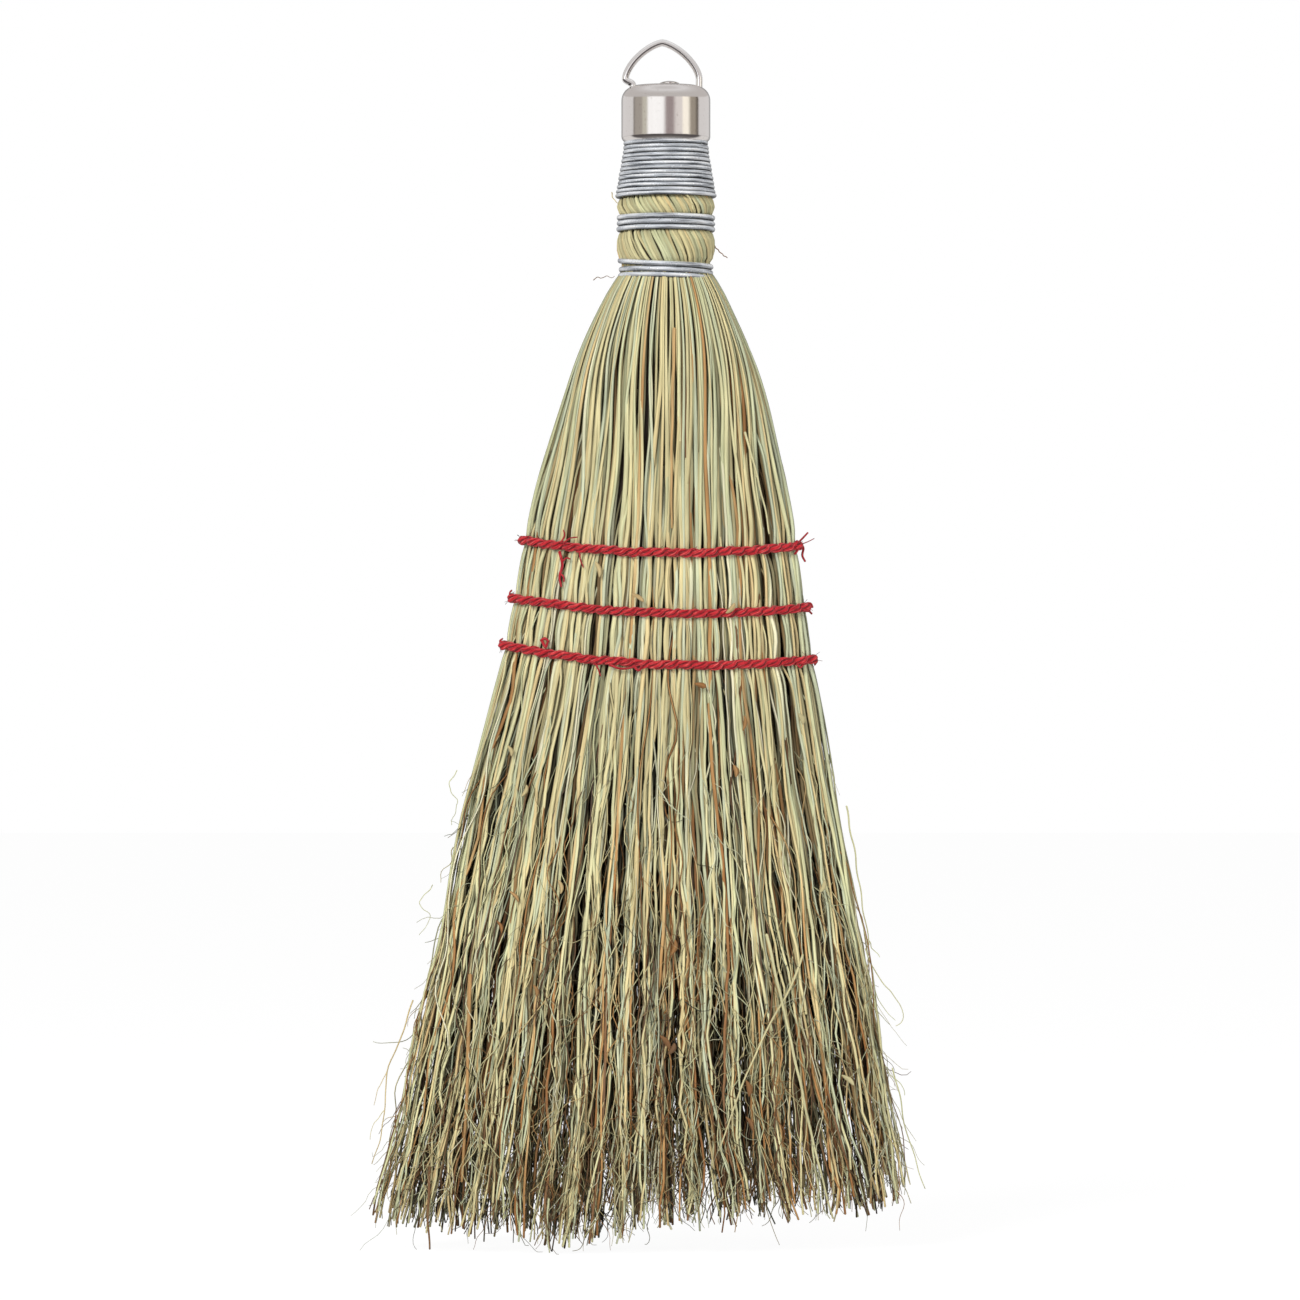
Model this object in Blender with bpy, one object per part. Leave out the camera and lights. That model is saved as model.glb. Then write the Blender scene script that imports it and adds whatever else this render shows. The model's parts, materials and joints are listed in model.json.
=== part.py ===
"""Whisk broom: straw bound at the neck with wire, sewn flat with three rows of twine, and
closed by a drawn cap with a swinging hang ring.

Units are metres. +Z runs up the broom, +X to the right of its front, and the front faces -Y.
The origin lies on the surface that the bristle ends stand on, midway along and across them.
"""

import math
import random

import bmesh
import bpy
import numpy as np
from mathutils import Vector

# Clearances
GAP = 0.0003
OVERRUN = 0.002
LEVEL_MATCH_SHARE = 0.1
SHARP_ANGLE = math.radians(35)

# Straw head, from the bristle ends up to the neck
BRISTLE_LENGTH = 0.1445
LOWER_ROW_RISE = 0.0040
LOWER_ROW_PITCH = 0.0126
UPPER_ROW_PITCH = 0.0151
SHOULDER_HEIGHT = 0.0686
STITCHED_HALF_WIDTH = 0.0398
STITCHED_HALF_DEPTH = 0.0100
TIP_HALF_WIDTH = 0.0735
TIP_HALF_DEPTH = 0.0150
HEAD_LEAN = 0.0048
FURROW_DEPTH = 0.0006
ROW_PINCH = 0.0008
TRIM_HEIGHT = 0.0120
TRIM_SCATTER = 0.0024
FRAY_LENGTH = 0.0130
SPLIT_HALF_SHARE = 0.62
CORE_HALF_SHARE = 0.30
MIDDLE_LAYER_SHARE = 0.50
FRAY_WIDTH_SHARE = 0.72
TIP_WIDTH_SHARE = 0.42
TIP_WANDER_SHARE = 0.14
HURL_RIDGES = 14
SHOULDER_RIDGES = 10
CORE_LAYERS = 3
FLARE_SHARES = (
    (0.0, 0.0), (0.1, 0.21), (0.2, 0.36), (0.3, 0.48), (0.5, 0.68),
    (0.6, 0.76), (0.7, 0.84), (0.85, 0.92), (1.0, 1.0),
)
LEAN_SHARES = ((0.0, 0.0), (0.25, 0.04), (0.5, 0.22), (0.6, 0.5), (0.75, 0.74), (1.0, 1.0))
TRIM_SHARES = ((-1.0, 0.45), (-0.8, 0.12), (-0.35, 0.0), (0.1, 0.2), (0.5, 0.62), (1.0, 0.95))
SHOULDER_LEVEL_SHARES = (0.12, 0.28, 0.50, 0.74)
COARSE_LEVEL_SHARES = (0.28, 0.74)

# Neck and its wire bindings
NECK_RADIUS = 0.0125
NECK_BULGE = 0.0002
LOWER_SEAT_RADIUS = 0.01085
MIDDLE_SEAT_RADIUS = 0.01140
UPPER_SEAT_LOW_RADIUS = 0.01150
UPPER_SEAT_HIGH_RADIUS = 0.00940
SEAT_FURROW_DEPTH = 0.00025
SEAT_STEP = 0.0005
LOWER_NECK_GAP = 0.0075
UPPER_NECK_GAP = 0.0043
NECK_STALKS = 24
NECK_TWIST = math.radians(102)
WIRE_DIAMETER = 0.00070
WIRE_PITCH = 0.00111
BAND_PITCH = 0.00140
UPPER_TURNS = 12.6
BAND_TURNS = 2.56
WIRE_POINTS_PER_TURN = 14
UPPER_END_ANGLE = math.radians(-49)
BAND_START_ANGLE = math.radians(-190)
END_HOLE_EASE = 0.0002
END_HOLE_DIAMETERS = 3
END_HOLE_SIDES = 8
END_BEND_STEPS = 3
WINDING_BEVEL_STEPS = 1
GAP_SAMPLES = 6
GAP_SKIP_DIAMETERS = 4

# Twine rows
TWINE_DIAMETER = 0.0009
TWINE_PITCH = 0.00135
TWINE_POINTS_PER_LOOP = 18
TWINE_START_ANGLE = math.radians(22)
TWINE_SWEEP = math.radians(632)
TWINE_STEP_START = math.radians(290)
TWINE_STEP_END = math.radians(330)

# Cap, its nail and the hang ring
CAP_RADIUS = 0.0112
CAP_HEIGHT = 0.0137
CAP_WALL = 0.0005
CAP_SHOULDER_RADIUS = 0.0038
CAP_DOME = 0.0003
CAP_CURL_RADIUS = 0.0012
CAP_STEPS = 36
CAP_SHOULDER_POINTS = 5
CAP_CURL_POINTS = 4
CAP_INNER_CURL_POINTS = 3
STALK_RECESS = 0.0046
NAIL_HEAD_RADIUS = 0.0024
NAIL_HEAD_HEIGHT = 0.0006
NAIL_SHANK_RADIUS = 0.0010
NAIL_LENGTH = 0.0130
NAIL_POINT = 0.0018
NAIL_OFFSET = 0.0009
NAIL_SIDES = 16
NAIL_DOME_SHARES = ((0.45, 0.84), (0.80, 0.49), (1.0, 0.20))
RING_WIRE_RADIUS = 0.000875
RING_HALF_WIDTH = 0.0093
RING_ARCH_HEIGHT = 0.0088
RING_ARCH_RISE = 0.0014
RING_ARCH_POWER = 1.75
RING_PULL = 0.0009
RING_HOLE_OFFSET = 0.0084
RING_TAIL = 0.0031
RING_TOE = 0.0024
RING_SWING = math.radians(45)
RING_SLOT_SPREAD = 0.0009
RING_SLOT_SIDES = 20
RING_ARCH_POINTS = 17
RING_BEVEL_STEPS = 2
TOE_BEND_SHARES = (0.25, 0.5)

# Heights that follow from the sizes
Z_BASE = BRISTLE_LENGTH
Z_LOWER_ROW = Z_BASE + LOWER_ROW_RISE
Z_MIDDLE_ROW = Z_LOWER_ROW + LOWER_ROW_PITCH
Z_UPPER_ROW = Z_MIDDLE_ROW + UPPER_ROW_PITCH
Z_LOWER_BAND = Z_UPPER_ROW + SHOULDER_HEIGHT
BAND_HEIGHT = BAND_TURNS * BAND_PITCH + WIRE_DIAMETER
Z_JOINT = Z_LOWER_BAND + BAND_HEIGHT / 2
Z_LOWER_BAND_TOP = Z_LOWER_BAND + BAND_HEIGHT
Z_MIDDLE_BAND = Z_LOWER_BAND_TOP + LOWER_NECK_GAP
Z_MIDDLE_BAND_TOP = Z_MIDDLE_BAND + BAND_HEIGHT
Z_UPPER_BAND = Z_MIDDLE_BAND_TOP + UPPER_NECK_GAP
Z_UPPER_BAND_TOP = Z_UPPER_BAND + UPPER_TURNS * WIRE_PITCH + WIRE_DIAMETER
Z_CAP_RIM = Z_UPPER_BAND_TOP + GAP
Z_CAP_TOP = Z_CAP_RIM + CAP_HEIGHT
Z_STALK_TOP = Z_CAP_TOP - STALK_RECESS
Z_RING_PIVOT = Z_CAP_TOP
ROWS = {"upper": Z_UPPER_ROW, "middle": Z_MIDDLE_ROW, "lower": Z_LOWER_ROW}
GROOVE_HALF_HEIGHT = (TWINE_PITCH + TWINE_DIAMETER) / 2 + GAP
SPLIT_GAP_SHARE = GAP / min(LOWER_SEAT_RADIUS, STITCHED_HALF_DEPTH)

# Finishes: colour, roughness and metallic value
STRAW = ("straw", (0.62, 0.52, 0.28, 1), 0.75, 0.0)
STRAW_GREEN = ("green_straw", (0.50, 0.47, 0.26, 1), 0.75, 0.0)
STRAW_CORE = ("inner_straw", (0.44, 0.33, 0.17, 1), 0.80, 0.0)
GALVANISED = ("galvanised_wire", (0.52, 0.56, 0.60, 1), 0.35, 1.0)
NICKEL = ("nickel_plate", (0.72, 0.69, 0.67, 1), 0.18, 1.0)
TWINE_RED = ("red_twine", (0.52, 0.03, 0.04, 1), 0.85, 0.0)


def finish(name, colour, roughness, metallic):
    """The material of that name, made once."""
    made = bpy.data.materials.get(name)
    if made:
        return made
    made = bpy.data.materials.new(name)
    made.use_nodes = True
    shader = made.node_tree.nodes["Principled BSDF"]
    shader.inputs["Base Color"].default_value = colour
    shader.inputs["Roughness"].default_value = roughness
    shader.inputs["Metallic"].default_value = metallic
    made.diffuse_color = colour
    return made


def add_object(name, data, look):
    """Links an object that holds the mesh or curve, with its finish."""
    data.materials.append(finish(*look))
    made = bpy.data.objects.new(name, data)
    bpy.context.scene.collection.objects.link(made)
    return made


def mesh_object(name, bm, look, smooth=True):
    """Turns a closed bmesh into an object with its faces pointing out."""
    bmesh.ops.recalc_face_normals(bm, faces=bm.faces)
    mesh = bpy.data.meshes.new(name)
    bm.to_mesh(mesh)
    bm.free()
    if smooth:
        mesh.shade_smooth()
        mesh.set_sharp_from_angle(angle=SHARP_ANGLE)
    return add_object(name, mesh, look)


def cut(target, cutter):
    """Takes the cutter out of the target and leaves it as a hidden helper."""
    cutter.hide_render = True
    cutter.display_type = "WIRE"
    modifier = target.modifiers.new("cut", "BOOLEAN")
    modifier.operation = "DIFFERENCE"
    modifier.solver = "EXACT"
    modifier.object = cutter


def share_of(table, place):
    """The share that a table of places and shares gives at a place."""
    places, shares = zip(*table)
    return float(np.interp(place, places, shares))


# Outline of the head

def half_width(z):
    """Half the head's width: a flared shoulder, then straight sides down to the tips."""
    if z >= Z_LOWER_ROW:
        along = (Z_LOWER_BAND - z) / (Z_LOWER_BAND - Z_LOWER_ROW)
        return NECK_RADIUS + share_of(FLARE_SHARES, along) * (STITCHED_HALF_WIDTH - NECK_RADIUS)
    along = z / Z_LOWER_ROW
    return TIP_HALF_WIDTH + along * (STITCHED_HALF_WIDTH - TIP_HALF_WIDTH)


def half_depth(z):
    """Half the head's depth: round at the neck, sewn flat, then opening to the tips."""
    if z >= Z_LOWER_ROW:
        along = (Z_LOWER_BAND - z) / (Z_LOWER_BAND - Z_LOWER_ROW)
        return NECK_RADIUS + along * (STITCHED_HALF_DEPTH - NECK_RADIUS)
    along = z / Z_LOWER_ROW
    return TIP_HALF_DEPTH + along * (STITCHED_HALF_DEPTH - TIP_HALF_DEPTH)


def centre_x(z):
    """The middle of the head at a height, which leans away from the neck towards the tips."""
    return HEAD_LEAN * share_of(LEAN_SHARES, z / Z_LOWER_BAND)


class Level:
    """One height of the straw, with its half width, half depth and middle."""

    def __init__(self, z, pinch=0, radius=None):
        self.z = z
        self.half_x = (radius or half_width(z)) - pinch
        self.half_y = (radius or half_depth(z)) - pinch
        self.whole_x = radius or half_width(z)
        self.whole_y = radius or half_depth(z)
        self.middle = HEAD_LEAN if radius else centre_x(z)
        self.furrow = SEAT_FURROW_DEPTH if radius else FURROW_DEPTH

    def place(self, point):
        """A point of the head's unit disc at this height."""
        u, v, kind = point
        if kind == "inner":
            return Vector((self.middle + self.whole_x * u, self.whole_y * v, self.z))
        inset = self.furrow if kind == "furrow" else 0
        return Vector((self.middle + (self.half_x - inset) * u, (self.half_y - inset) * v, self.z))


def shoulder_level(share):
    """A level of the shoulder, at a share of the way down from the lower band to the upper row."""
    return Level(Z_LOWER_BAND - share * SHOULDER_HEIGHT)


def neck_levels():
    """The levels where the lower band draws the straw in, from the joint down."""
    return [
        Level(Z_JOINT - GAP / 2, radius=LOWER_SEAT_RADIUS),
        Level(Z_LOWER_BAND, radius=LOWER_SEAT_RADIUS),
        Level(Z_LOWER_BAND - SEAT_STEP),
    ]


def outer_levels():
    """The levels of an outer column of straw, with a groove for each row of twine."""
    levels = neck_levels() + [shoulder_level(share) for share in SHOULDER_LEVEL_SHARES]
    heights = sorted(ROWS.values(), reverse=True)
    for height, below in zip(heights, heights[1:] + [None]):
        levels.append(Level(height + GROOVE_HALF_HEIGHT, pinch=ROW_PINCH))
        levels.append(Level(height - GROOVE_HALF_HEIGHT, pinch=ROW_PINCH))
        if below:
            levels.append(Level((height + below) / 2))
    return levels + [Level(Z_BASE)]


def inner_levels():
    """The levels of a column that lies against another bunch."""
    shoulder = [shoulder_level(share) for share in COARSE_LEVEL_SHARES]
    between_rows = Level((Z_UPPER_ROW + Z_MIDDLE_ROW) / 2)
    return neck_levels() + shoulder + [between_rows, Level(Z_BASE)]


# Bunches of straw

class Bunch:
    """A bunch's section on the unit disc: its points, its outline and its cells."""

    def __init__(self):
        self.points = []
        self.outline = []
        self.cells = []

    def add(self, u, v, kind="inner"):
        self.points.append((u, v, kind))
        return len(self.points) - 1

    def turned(self, u_sign, v_sign):
        """The same section mirrored across one axis or both."""
        other = Bunch()
        other.points = [(u * u_sign, v * v_sign, kind) for u, v, kind in self.points]
        other.outline = list(self.outline)
        other.cells = list(self.cells)
        return other


def disc_edge(u):
    """The unit disc's v at a u."""
    return math.sqrt(1 - u * u)


def hurl_section():
    """The back face's bunch: ridges along the rim, one middle layer and a flat inner wall."""
    bunch = Bunch()
    reach = SPLIT_HALF_SHARE - SPLIT_GAP_SHARE / 2
    floor = CORE_HALF_SHARE + SPLIT_GAP_SHARE / 2
    step = 2 * reach / HURL_RIDGES
    furrows, ridges, middles, walls = [], [], [], []
    for index in range(HURL_RIDGES + 1):
        u = -reach + index * step
        edge = disc_edge(u)
        furrows.append(bunch.add(u, edge, "furrow"))
        middles.append(bunch.add(u, floor + MIDDLE_LAYER_SHARE * (edge - floor)))
        walls.append(bunch.add(u, floor))
        if index < HURL_RIDGES:
            ridge = u + step / 2
            ridges.append(bunch.add(ridge, disc_edge(ridge), "ridge"))
    for index in range(HURL_RIDGES):
        outer, ridge, following = furrows[index], ridges[index], furrows[index + 1]
        near, far = middles[index], middles[index + 1]
        wall, wall_far = walls[index], walls[index + 1]
        bunch.cells += [(outer, ridge, near), (ridge, far, near), (ridge, following, far)]
        bunch.cells += [(near, far, wall), (far, wall_far, wall)]
        bunch.outline += [outer, ridge]
    bunch.outline += [furrows[-1], middles[-1]] + walls[::-1] + [middles[0]]
    return bunch


def shoulder_section():
    """The right edge's bunch: a half oval with ridges round the rim and a flat inner wall."""
    bunch = Bunch()
    wall_u = SPLIT_HALF_SHARE + SPLIT_GAP_SHARE / 2
    reach = math.acos(wall_u)
    step = 2 * reach / SHOULDER_RIDGES
    furrows, ridges, middles, walls = [], [], [], []
    for index in range(SHOULDER_RIDGES + 1):
        angle = -reach + index * step
        furrows.append(bunch.add(math.cos(angle), math.sin(angle), "furrow"))
        if 0 < index < SHOULDER_RIDGES:
            wall_v = math.sin(reach) * (2 * index / SHOULDER_RIDGES - 1)
            middle_u = wall_u + MIDDLE_LAYER_SHARE * (math.cos(angle) - wall_u)
            middle_v = wall_v + MIDDLE_LAYER_SHARE * (math.sin(angle) - wall_v)
            middles.append(bunch.add(middle_u, middle_v))
            walls.append(bunch.add(wall_u, wall_v))
        else:
            middles.append(furrows[-1])
            walls.append(furrows[-1])
        if index < SHOULDER_RIDGES:
            ridge = angle + step / 2
            ridges.append(bunch.add(math.cos(ridge), math.sin(ridge), "ridge"))
    for index in range(SHOULDER_RIDGES):
        outer, ridge, following = furrows[index], ridges[index], furrows[index + 1]
        near, far = middles[index], middles[index + 1]
        wall, wall_far = walls[index], walls[index + 1]
        cells = [(outer, ridge, near), (ridge, far, near), (ridge, following, far)]
        cells += [(near, far, wall), (far, wall_far, wall)]
        bunch.cells += [cell for cell in cells if len(set(cell)) == 3]
        bunch.outline += [outer, ridge]
    bunch.outline += [furrows[-1]] + walls[-2:0:-1]
    return bunch


def core_section():
    """The middle bunch: a slab of layers between the two faces' bunches."""
    bunch = Bunch()
    reach = SPLIT_HALF_SHARE - SPLIT_GAP_SHARE / 2
    thick = CORE_HALF_SHARE - SPLIT_GAP_SHARE / 2
    rows = []
    for layer in range(CORE_LAYERS + 1):
        v = thick * (2 * layer / CORE_LAYERS - 1)
        rows.append([
            bunch.add(reach * (2 * index / HURL_RIDGES - 1), v) for index in range(HURL_RIDGES + 1)
        ])
    for layer in range(CORE_LAYERS):
        for index in range(HURL_RIDGES):
            near, far = rows[layer][index], rows[layer][index + 1]
            above, above_far = rows[layer + 1][index], rows[layer + 1][index + 1]
            if (layer + index) % 2:
                bunch.cells += [(near, far, above), (far, above_far, above)]
            else:
                bunch.cells += [(near, far, above_far), (near, above_far, above)]
    bunch.outline = rows[0] + [row[-1] for row in rows[1:]]
    bunch.outline += rows[-1][-2::-1] + [row[0] for row in rows[-2:0:-1]]
    return bunch


def join_columns(bm, left, right):
    """Faces between two columns of vertices that may have different levels."""
    i = j = 0
    while i < len(left) - 1 or j < len(right) - 1:
        next_left = left[i + 1].co.z if i < len(left) - 1 else -math.inf
        next_right = right[j + 1].co.z if j < len(right) - 1 else -math.inf
        if abs(next_left - next_right) < LEVEL_MATCH_SHARE * GAP:
            bm.faces.new((left[i], left[i + 1], right[j + 1], right[j]))
            i += 1
            j += 1
        elif next_left > next_right:
            bm.faces.new((left[i], left[i + 1], right[j]))
            i += 1
        else:
            bm.faces.new((left[i], right[j + 1], right[j]))
            j += 1


def strand_ring(bm, level, cell, width_share, wander):
    """A strand's section at a level: its cell, drawn in towards a point near the middle."""
    corners = [level.place(point) for point in cell]
    middle = sum(corners, Vector()) / len(corners)
    middle += wander[0] * (corners[0] - middle) + wander[1] * (corners[1] - middle)
    return [bm.verts.new(middle + width_share * (corner - middle)) for corner in corners]


def tip_height(x, trimmed, draw):
    """How high a strand ends: the lopsided trim of the ends, scattered, and cut flat at the floor."""
    rise = share_of(TRIM_SHARES, x / TIP_HALF_WIDTH) * TRIM_HEIGHT if trimmed else 0
    return max(0, rise + draw.uniform(-TRIM_SCATTER, TRIM_SCATTER))


def add_bunch(name, bunch, look, seed, trimmed=True):
    """A bunch of straw: solid down to its base below the rows, and separate strands from there."""
    draw = random.Random(seed)
    bm = bmesh.new()
    outer, inner, base_level = outer_levels(), inner_levels(), Level(Z_BASE)
    base, columns = {}, []
    for index in bunch.outline:
        point = bunch.points[index]
        levels = inner if point[2] == "inner" else outer
        column = [bm.verts.new(level.place(point)) for level in levels]
        columns.append(column)
        base[index] = column[-1]
    for index, point in enumerate(bunch.points):
        if index not in base:
            base[index] = bm.verts.new(base_level.place(point))
    bm.faces.new([column[0] for column in columns])
    for left, right in zip(columns, columns[1:] + columns[:1]):
        join_columns(bm, left, right)
    fray_level = Level(Z_BASE - FRAY_LENGTH)
    for cell in bunch.cells:
        points = [bunch.points[index] for index in cell]
        u = sum(point[0] for point in points) / len(points)
        wander = [draw.uniform(-TIP_WANDER_SHARE, TIP_WANDER_SHARE) for _ in range(2)]
        tip_level = Level(tip_height(u * TIP_HALF_WIDTH, trimmed, draw))
        rings = [
            [base[index] for index in cell],
            strand_ring(bm, fray_level, points, FRAY_WIDTH_SHARE, (0, 0)),
            strand_ring(bm, tip_level, points, TIP_WIDTH_SHARE, wander),
        ]
        for upper, lower in zip(rings, rings[1:]):
            for k in range(3):
                following = (k + 1) % 3
                bm.faces.new((upper[k], upper[following], lower[following], lower[k]))
        bm.faces.new(rings[-1])
    print(name, "strands", len(bunch.cells))
    return mesh_object(name, bm, look, smooth=False)


# Neck

def neck_rings():
    """Heights, radii and furrow depths of the neck, from the joint up into the cap."""
    cap_bore = CAP_RADIUS - CAP_WALL - GAP
    lip_top = Z_CAP_RIM + CAP_CURL_RADIUS
    middle = NECK_RADIUS + NECK_BULGE
    seat, loose = SEAT_FURROW_DEPTH, FURROW_DEPTH
    return [
        (Z_JOINT + GAP / 2, LOWER_SEAT_RADIUS, seat),
        (Z_LOWER_BAND_TOP, LOWER_SEAT_RADIUS, seat),
        (Z_LOWER_BAND_TOP + SEAT_STEP, NECK_RADIUS, loose),
        ((Z_LOWER_BAND_TOP + Z_MIDDLE_BAND) / 2, middle, loose),
        (Z_MIDDLE_BAND - SEAT_STEP, NECK_RADIUS, loose),
        (Z_MIDDLE_BAND, MIDDLE_SEAT_RADIUS, seat),
        (Z_MIDDLE_BAND_TOP, MIDDLE_SEAT_RADIUS, seat),
        (Z_MIDDLE_BAND_TOP + SEAT_STEP, NECK_RADIUS, loose),
        (Z_UPPER_BAND - SEAT_STEP, NECK_RADIUS, loose),
        (Z_UPPER_BAND, UPPER_SEAT_LOW_RADIUS, seat),
        ((Z_UPPER_BAND + Z_UPPER_BAND_TOP) / 2,
         (UPPER_SEAT_LOW_RADIUS + UPPER_SEAT_HIGH_RADIUS) / 2, seat),
        (Z_UPPER_BAND_TOP, UPPER_SEAT_HIGH_RADIUS, seat),
        (lip_top, UPPER_SEAT_HIGH_RADIUS, seat),
        (lip_top + CAP_CURL_RADIUS, cap_bore, seat),
        (Z_STALK_TOP - CAP_CURL_RADIUS, cap_bore, seat),
        (Z_STALK_TOP, cap_bore - CAP_CURL_RADIUS / 2, seat),
    ]


def add_neck():
    """The twisted bundle of stalks that fills the cap and the wire bindings."""
    bm = bmesh.new()
    rings = []
    for z, radius, furrow in neck_rings():
        turn = NECK_TWIST * (Z_STALK_TOP - z) / (Z_STALK_TOP - Z_JOINT)
        ring = []
        for index in range(2 * NECK_STALKS):
            angle = turn + index * math.pi / NECK_STALKS
            reach = radius - (furrow if index % 2 else 0)
            place = (HEAD_LEAN + reach * math.cos(angle), reach * math.sin(angle), z)
            ring.append(bm.verts.new(place))
        rings.append(ring)
    for lower, upper in zip(rings, rings[1:]):
        for index in range(2 * NECK_STALKS):
            following = (index + 1) % (2 * NECK_STALKS)
            bm.faces.new((lower[index], lower[following], upper[following], upper[index]))
    bm.faces.new(rings[0])
    bm.faces.new(rings[-1])
    return mesh_object("neck_stalks", bm, STRAW_GREEN)


# Wound wire and twine

class Winding:
    """A wound tube's centreline, with straight ends that dive square into the straw."""

    def __init__(self, diameter):
        self.diameter = diameter
        self.points = []
        self.holes = []

    def dive(self, place, outward, along, sign):
        """The points of an end that bends in from a place and runs straight for one diameter."""
        bend = self.diameter
        pivot = place - bend * outward
        arc = []
        for step in range(1, END_BEND_STEPS + 1):
            angle = math.pi / 2 * step / END_BEND_STEPS
            offset = math.cos(angle) * outward + sign * math.sin(angle) * along
            arc.append(pivot + bend * offset)
        arc.append(arc[-1] - self.diameter * outward)
        self.holes.append((arc[-1], outward))
        return arc

    def close(self, body):
        """Puts an end on each side of the wound points."""
        (first, out_first, along_first), (last, out_last, along_last) = body[0], body[-1]
        start = self.dive(first, out_first, along_first, -1)
        end = self.dive(last, out_last, along_last, 1)
        self.points = start[::-1] + [place for place, _, _ in body] + end

    def least_gap(self):
        """The least clear distance of the tube to itself, measured on points along it."""
        line = np.array(self.points)
        parts = [np.linspace(a, b, GAP_SAMPLES, endpoint=False) for a, b in zip(line, line[1:])]
        dense = np.concatenate(parts)
        steps = np.linalg.norm(np.diff(dense, axis=0), axis=1)
        along = np.concatenate([[0], np.cumsum(steps)])
        apart = np.linalg.norm(dense[:, None] - dense[None], axis=2)
        near = GAP_SKIP_DIAMETERS * self.diameter
        apart[np.abs(along[:, None] - along[None]) < near] = np.inf
        return float(apart.min()) - self.diameter

    def add(self, name, look):
        """The tube as a curve of six sides with filled ends."""
        curve = bpy.data.curves.new(name, "CURVE")
        curve.dimensions = "3D"
        curve.bevel_depth = self.diameter / 2
        curve.bevel_resolution = WINDING_BEVEL_STEPS
        curve.use_fill_caps = True
        spline = curve.splines.new("POLY")
        spline.points.add(len(self.points) - 1)
        for point, place in zip(spline.points, self.points):
            point.co = (*place, 1)
        print(name, "least gap to itself, mm", round(1000 * self.least_gap(), 3))
        return add_object(name, curve, look)


def wire_winding(bottom, turns, pitch, low_radius, high_radius, start_angle):
    """A wire wound down the neck, resting on a seat that may taper."""
    winding = Winding(WIRE_DIAMETER)
    count = round(turns * WIRE_POINTS_PER_TURN)
    spread = 1 / math.cos(math.pi * turns / count)
    body = []
    for index in range(count + 1):
        done = index / count
        angle = start_angle + 2 * math.pi * turns * done
        seat = high_radius + done * (low_radius - high_radius)
        reach = (seat + GAP + WIRE_DIAMETER / 2) * spread
        outward = Vector((math.cos(angle), math.sin(angle), 0))
        along = Vector((-math.sin(angle), math.cos(angle), 0))
        z = bottom + WIRE_DIAMETER / 2 + turns * pitch * (1 - done)
        body.append((Vector((HEAD_LEAN, 0, z)) + reach * outward, outward, along))
    winding.close(body)
    return winding


def twine_winding(height):
    """Twine laid twice round the sewn straw, with a step down between its two loops."""
    winding = Winding(TWINE_DIAMETER)
    level = Level(height, pinch=ROW_PINCH)
    step = 2 * math.pi / TWINE_POINTS_PER_LOOP
    spread = 1 / math.cos(step / 2)
    reach_x = (level.half_x + GAP + TWINE_DIAMETER / 2) * spread
    reach_y = (level.half_y + GAP + TWINE_DIAMETER / 2) * spread
    count = round(TWINE_SWEEP / step)
    body = []
    for index in range(count + 1):
        swept = TWINE_SWEEP * index / count
        angle = TWINE_START_ANGLE + swept
        down = np.interp(swept, (TWINE_STEP_START, TWINE_STEP_END), (0, 1))
        z = height + TWINE_PITCH * (1 / 2 - float(down))
        place = Vector((level.middle + reach_x * math.cos(angle), reach_y * math.sin(angle), z))
        outward = Vector((math.cos(angle) / reach_x, math.sin(angle) / reach_y, 0)).normalized()
        along = Vector((-outward.y, outward.x, 0))
        body.append((place, outward, along))
    winding.close(body)
    return winding


def add_hole_cutter(name, windings):
    """Blind holes in the straw round the ends of wound tubes."""
    bm = bmesh.new()
    for winding in windings:
        radius = winding.diameter / 2 + GAP + END_HOLE_EASE
        for tip, outward in winding.holes:
            bottom = tip - GAP * outward
            length = END_HOLE_DIAMETERS * winding.diameter + OVERRUN
            turn = outward.to_track_quat("Z", "Y").to_matrix().to_4x4()
            turn.translation = bottom + outward * length / 2
            bmesh.ops.create_cone(
                bm, cap_ends=True, segments=END_HOLE_SIDES, radius1=radius, radius2=radius,
                depth=length, matrix=turn,
            )
    return mesh_object(name, bm, STRAW, smooth=False)


# Cap, nail and ring

def arc_points(centre_r, centre_z, radius, start, end, count):
    """Points of an arc in the plane of a turned profile, angles in degrees."""
    angles = np.radians(np.linspace(start, end, count))
    return [(centre_r + radius * math.cos(a), centre_z + radius * math.sin(a)) for a in angles]


def turned_mesh(profile, steps, x):
    """A closed turned solid from a profile that starts and ends on the axis at x."""
    bm = bmesh.new()
    rings = []
    for radius, z in profile:
        if radius == 0:
            rings.append([bm.verts.new((x, 0, z))])
            continue
        ring = []
        for index in range(steps):
            angle = 2 * math.pi * index / steps
            ring.append(bm.verts.new((x + radius * math.cos(angle), radius * math.sin(angle), z)))
        rings.append(ring)
    for upper, lower in zip(rings, rings[1:]):
        for index in range(steps):
            following = (index + 1) % steps
            corners = [upper[index % len(upper)], upper[following % len(upper)]]
            corners += [lower[following % len(lower)], lower[index % len(lower)]]
            bm.faces.new(dict.fromkeys(corners))
    return bm


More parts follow.
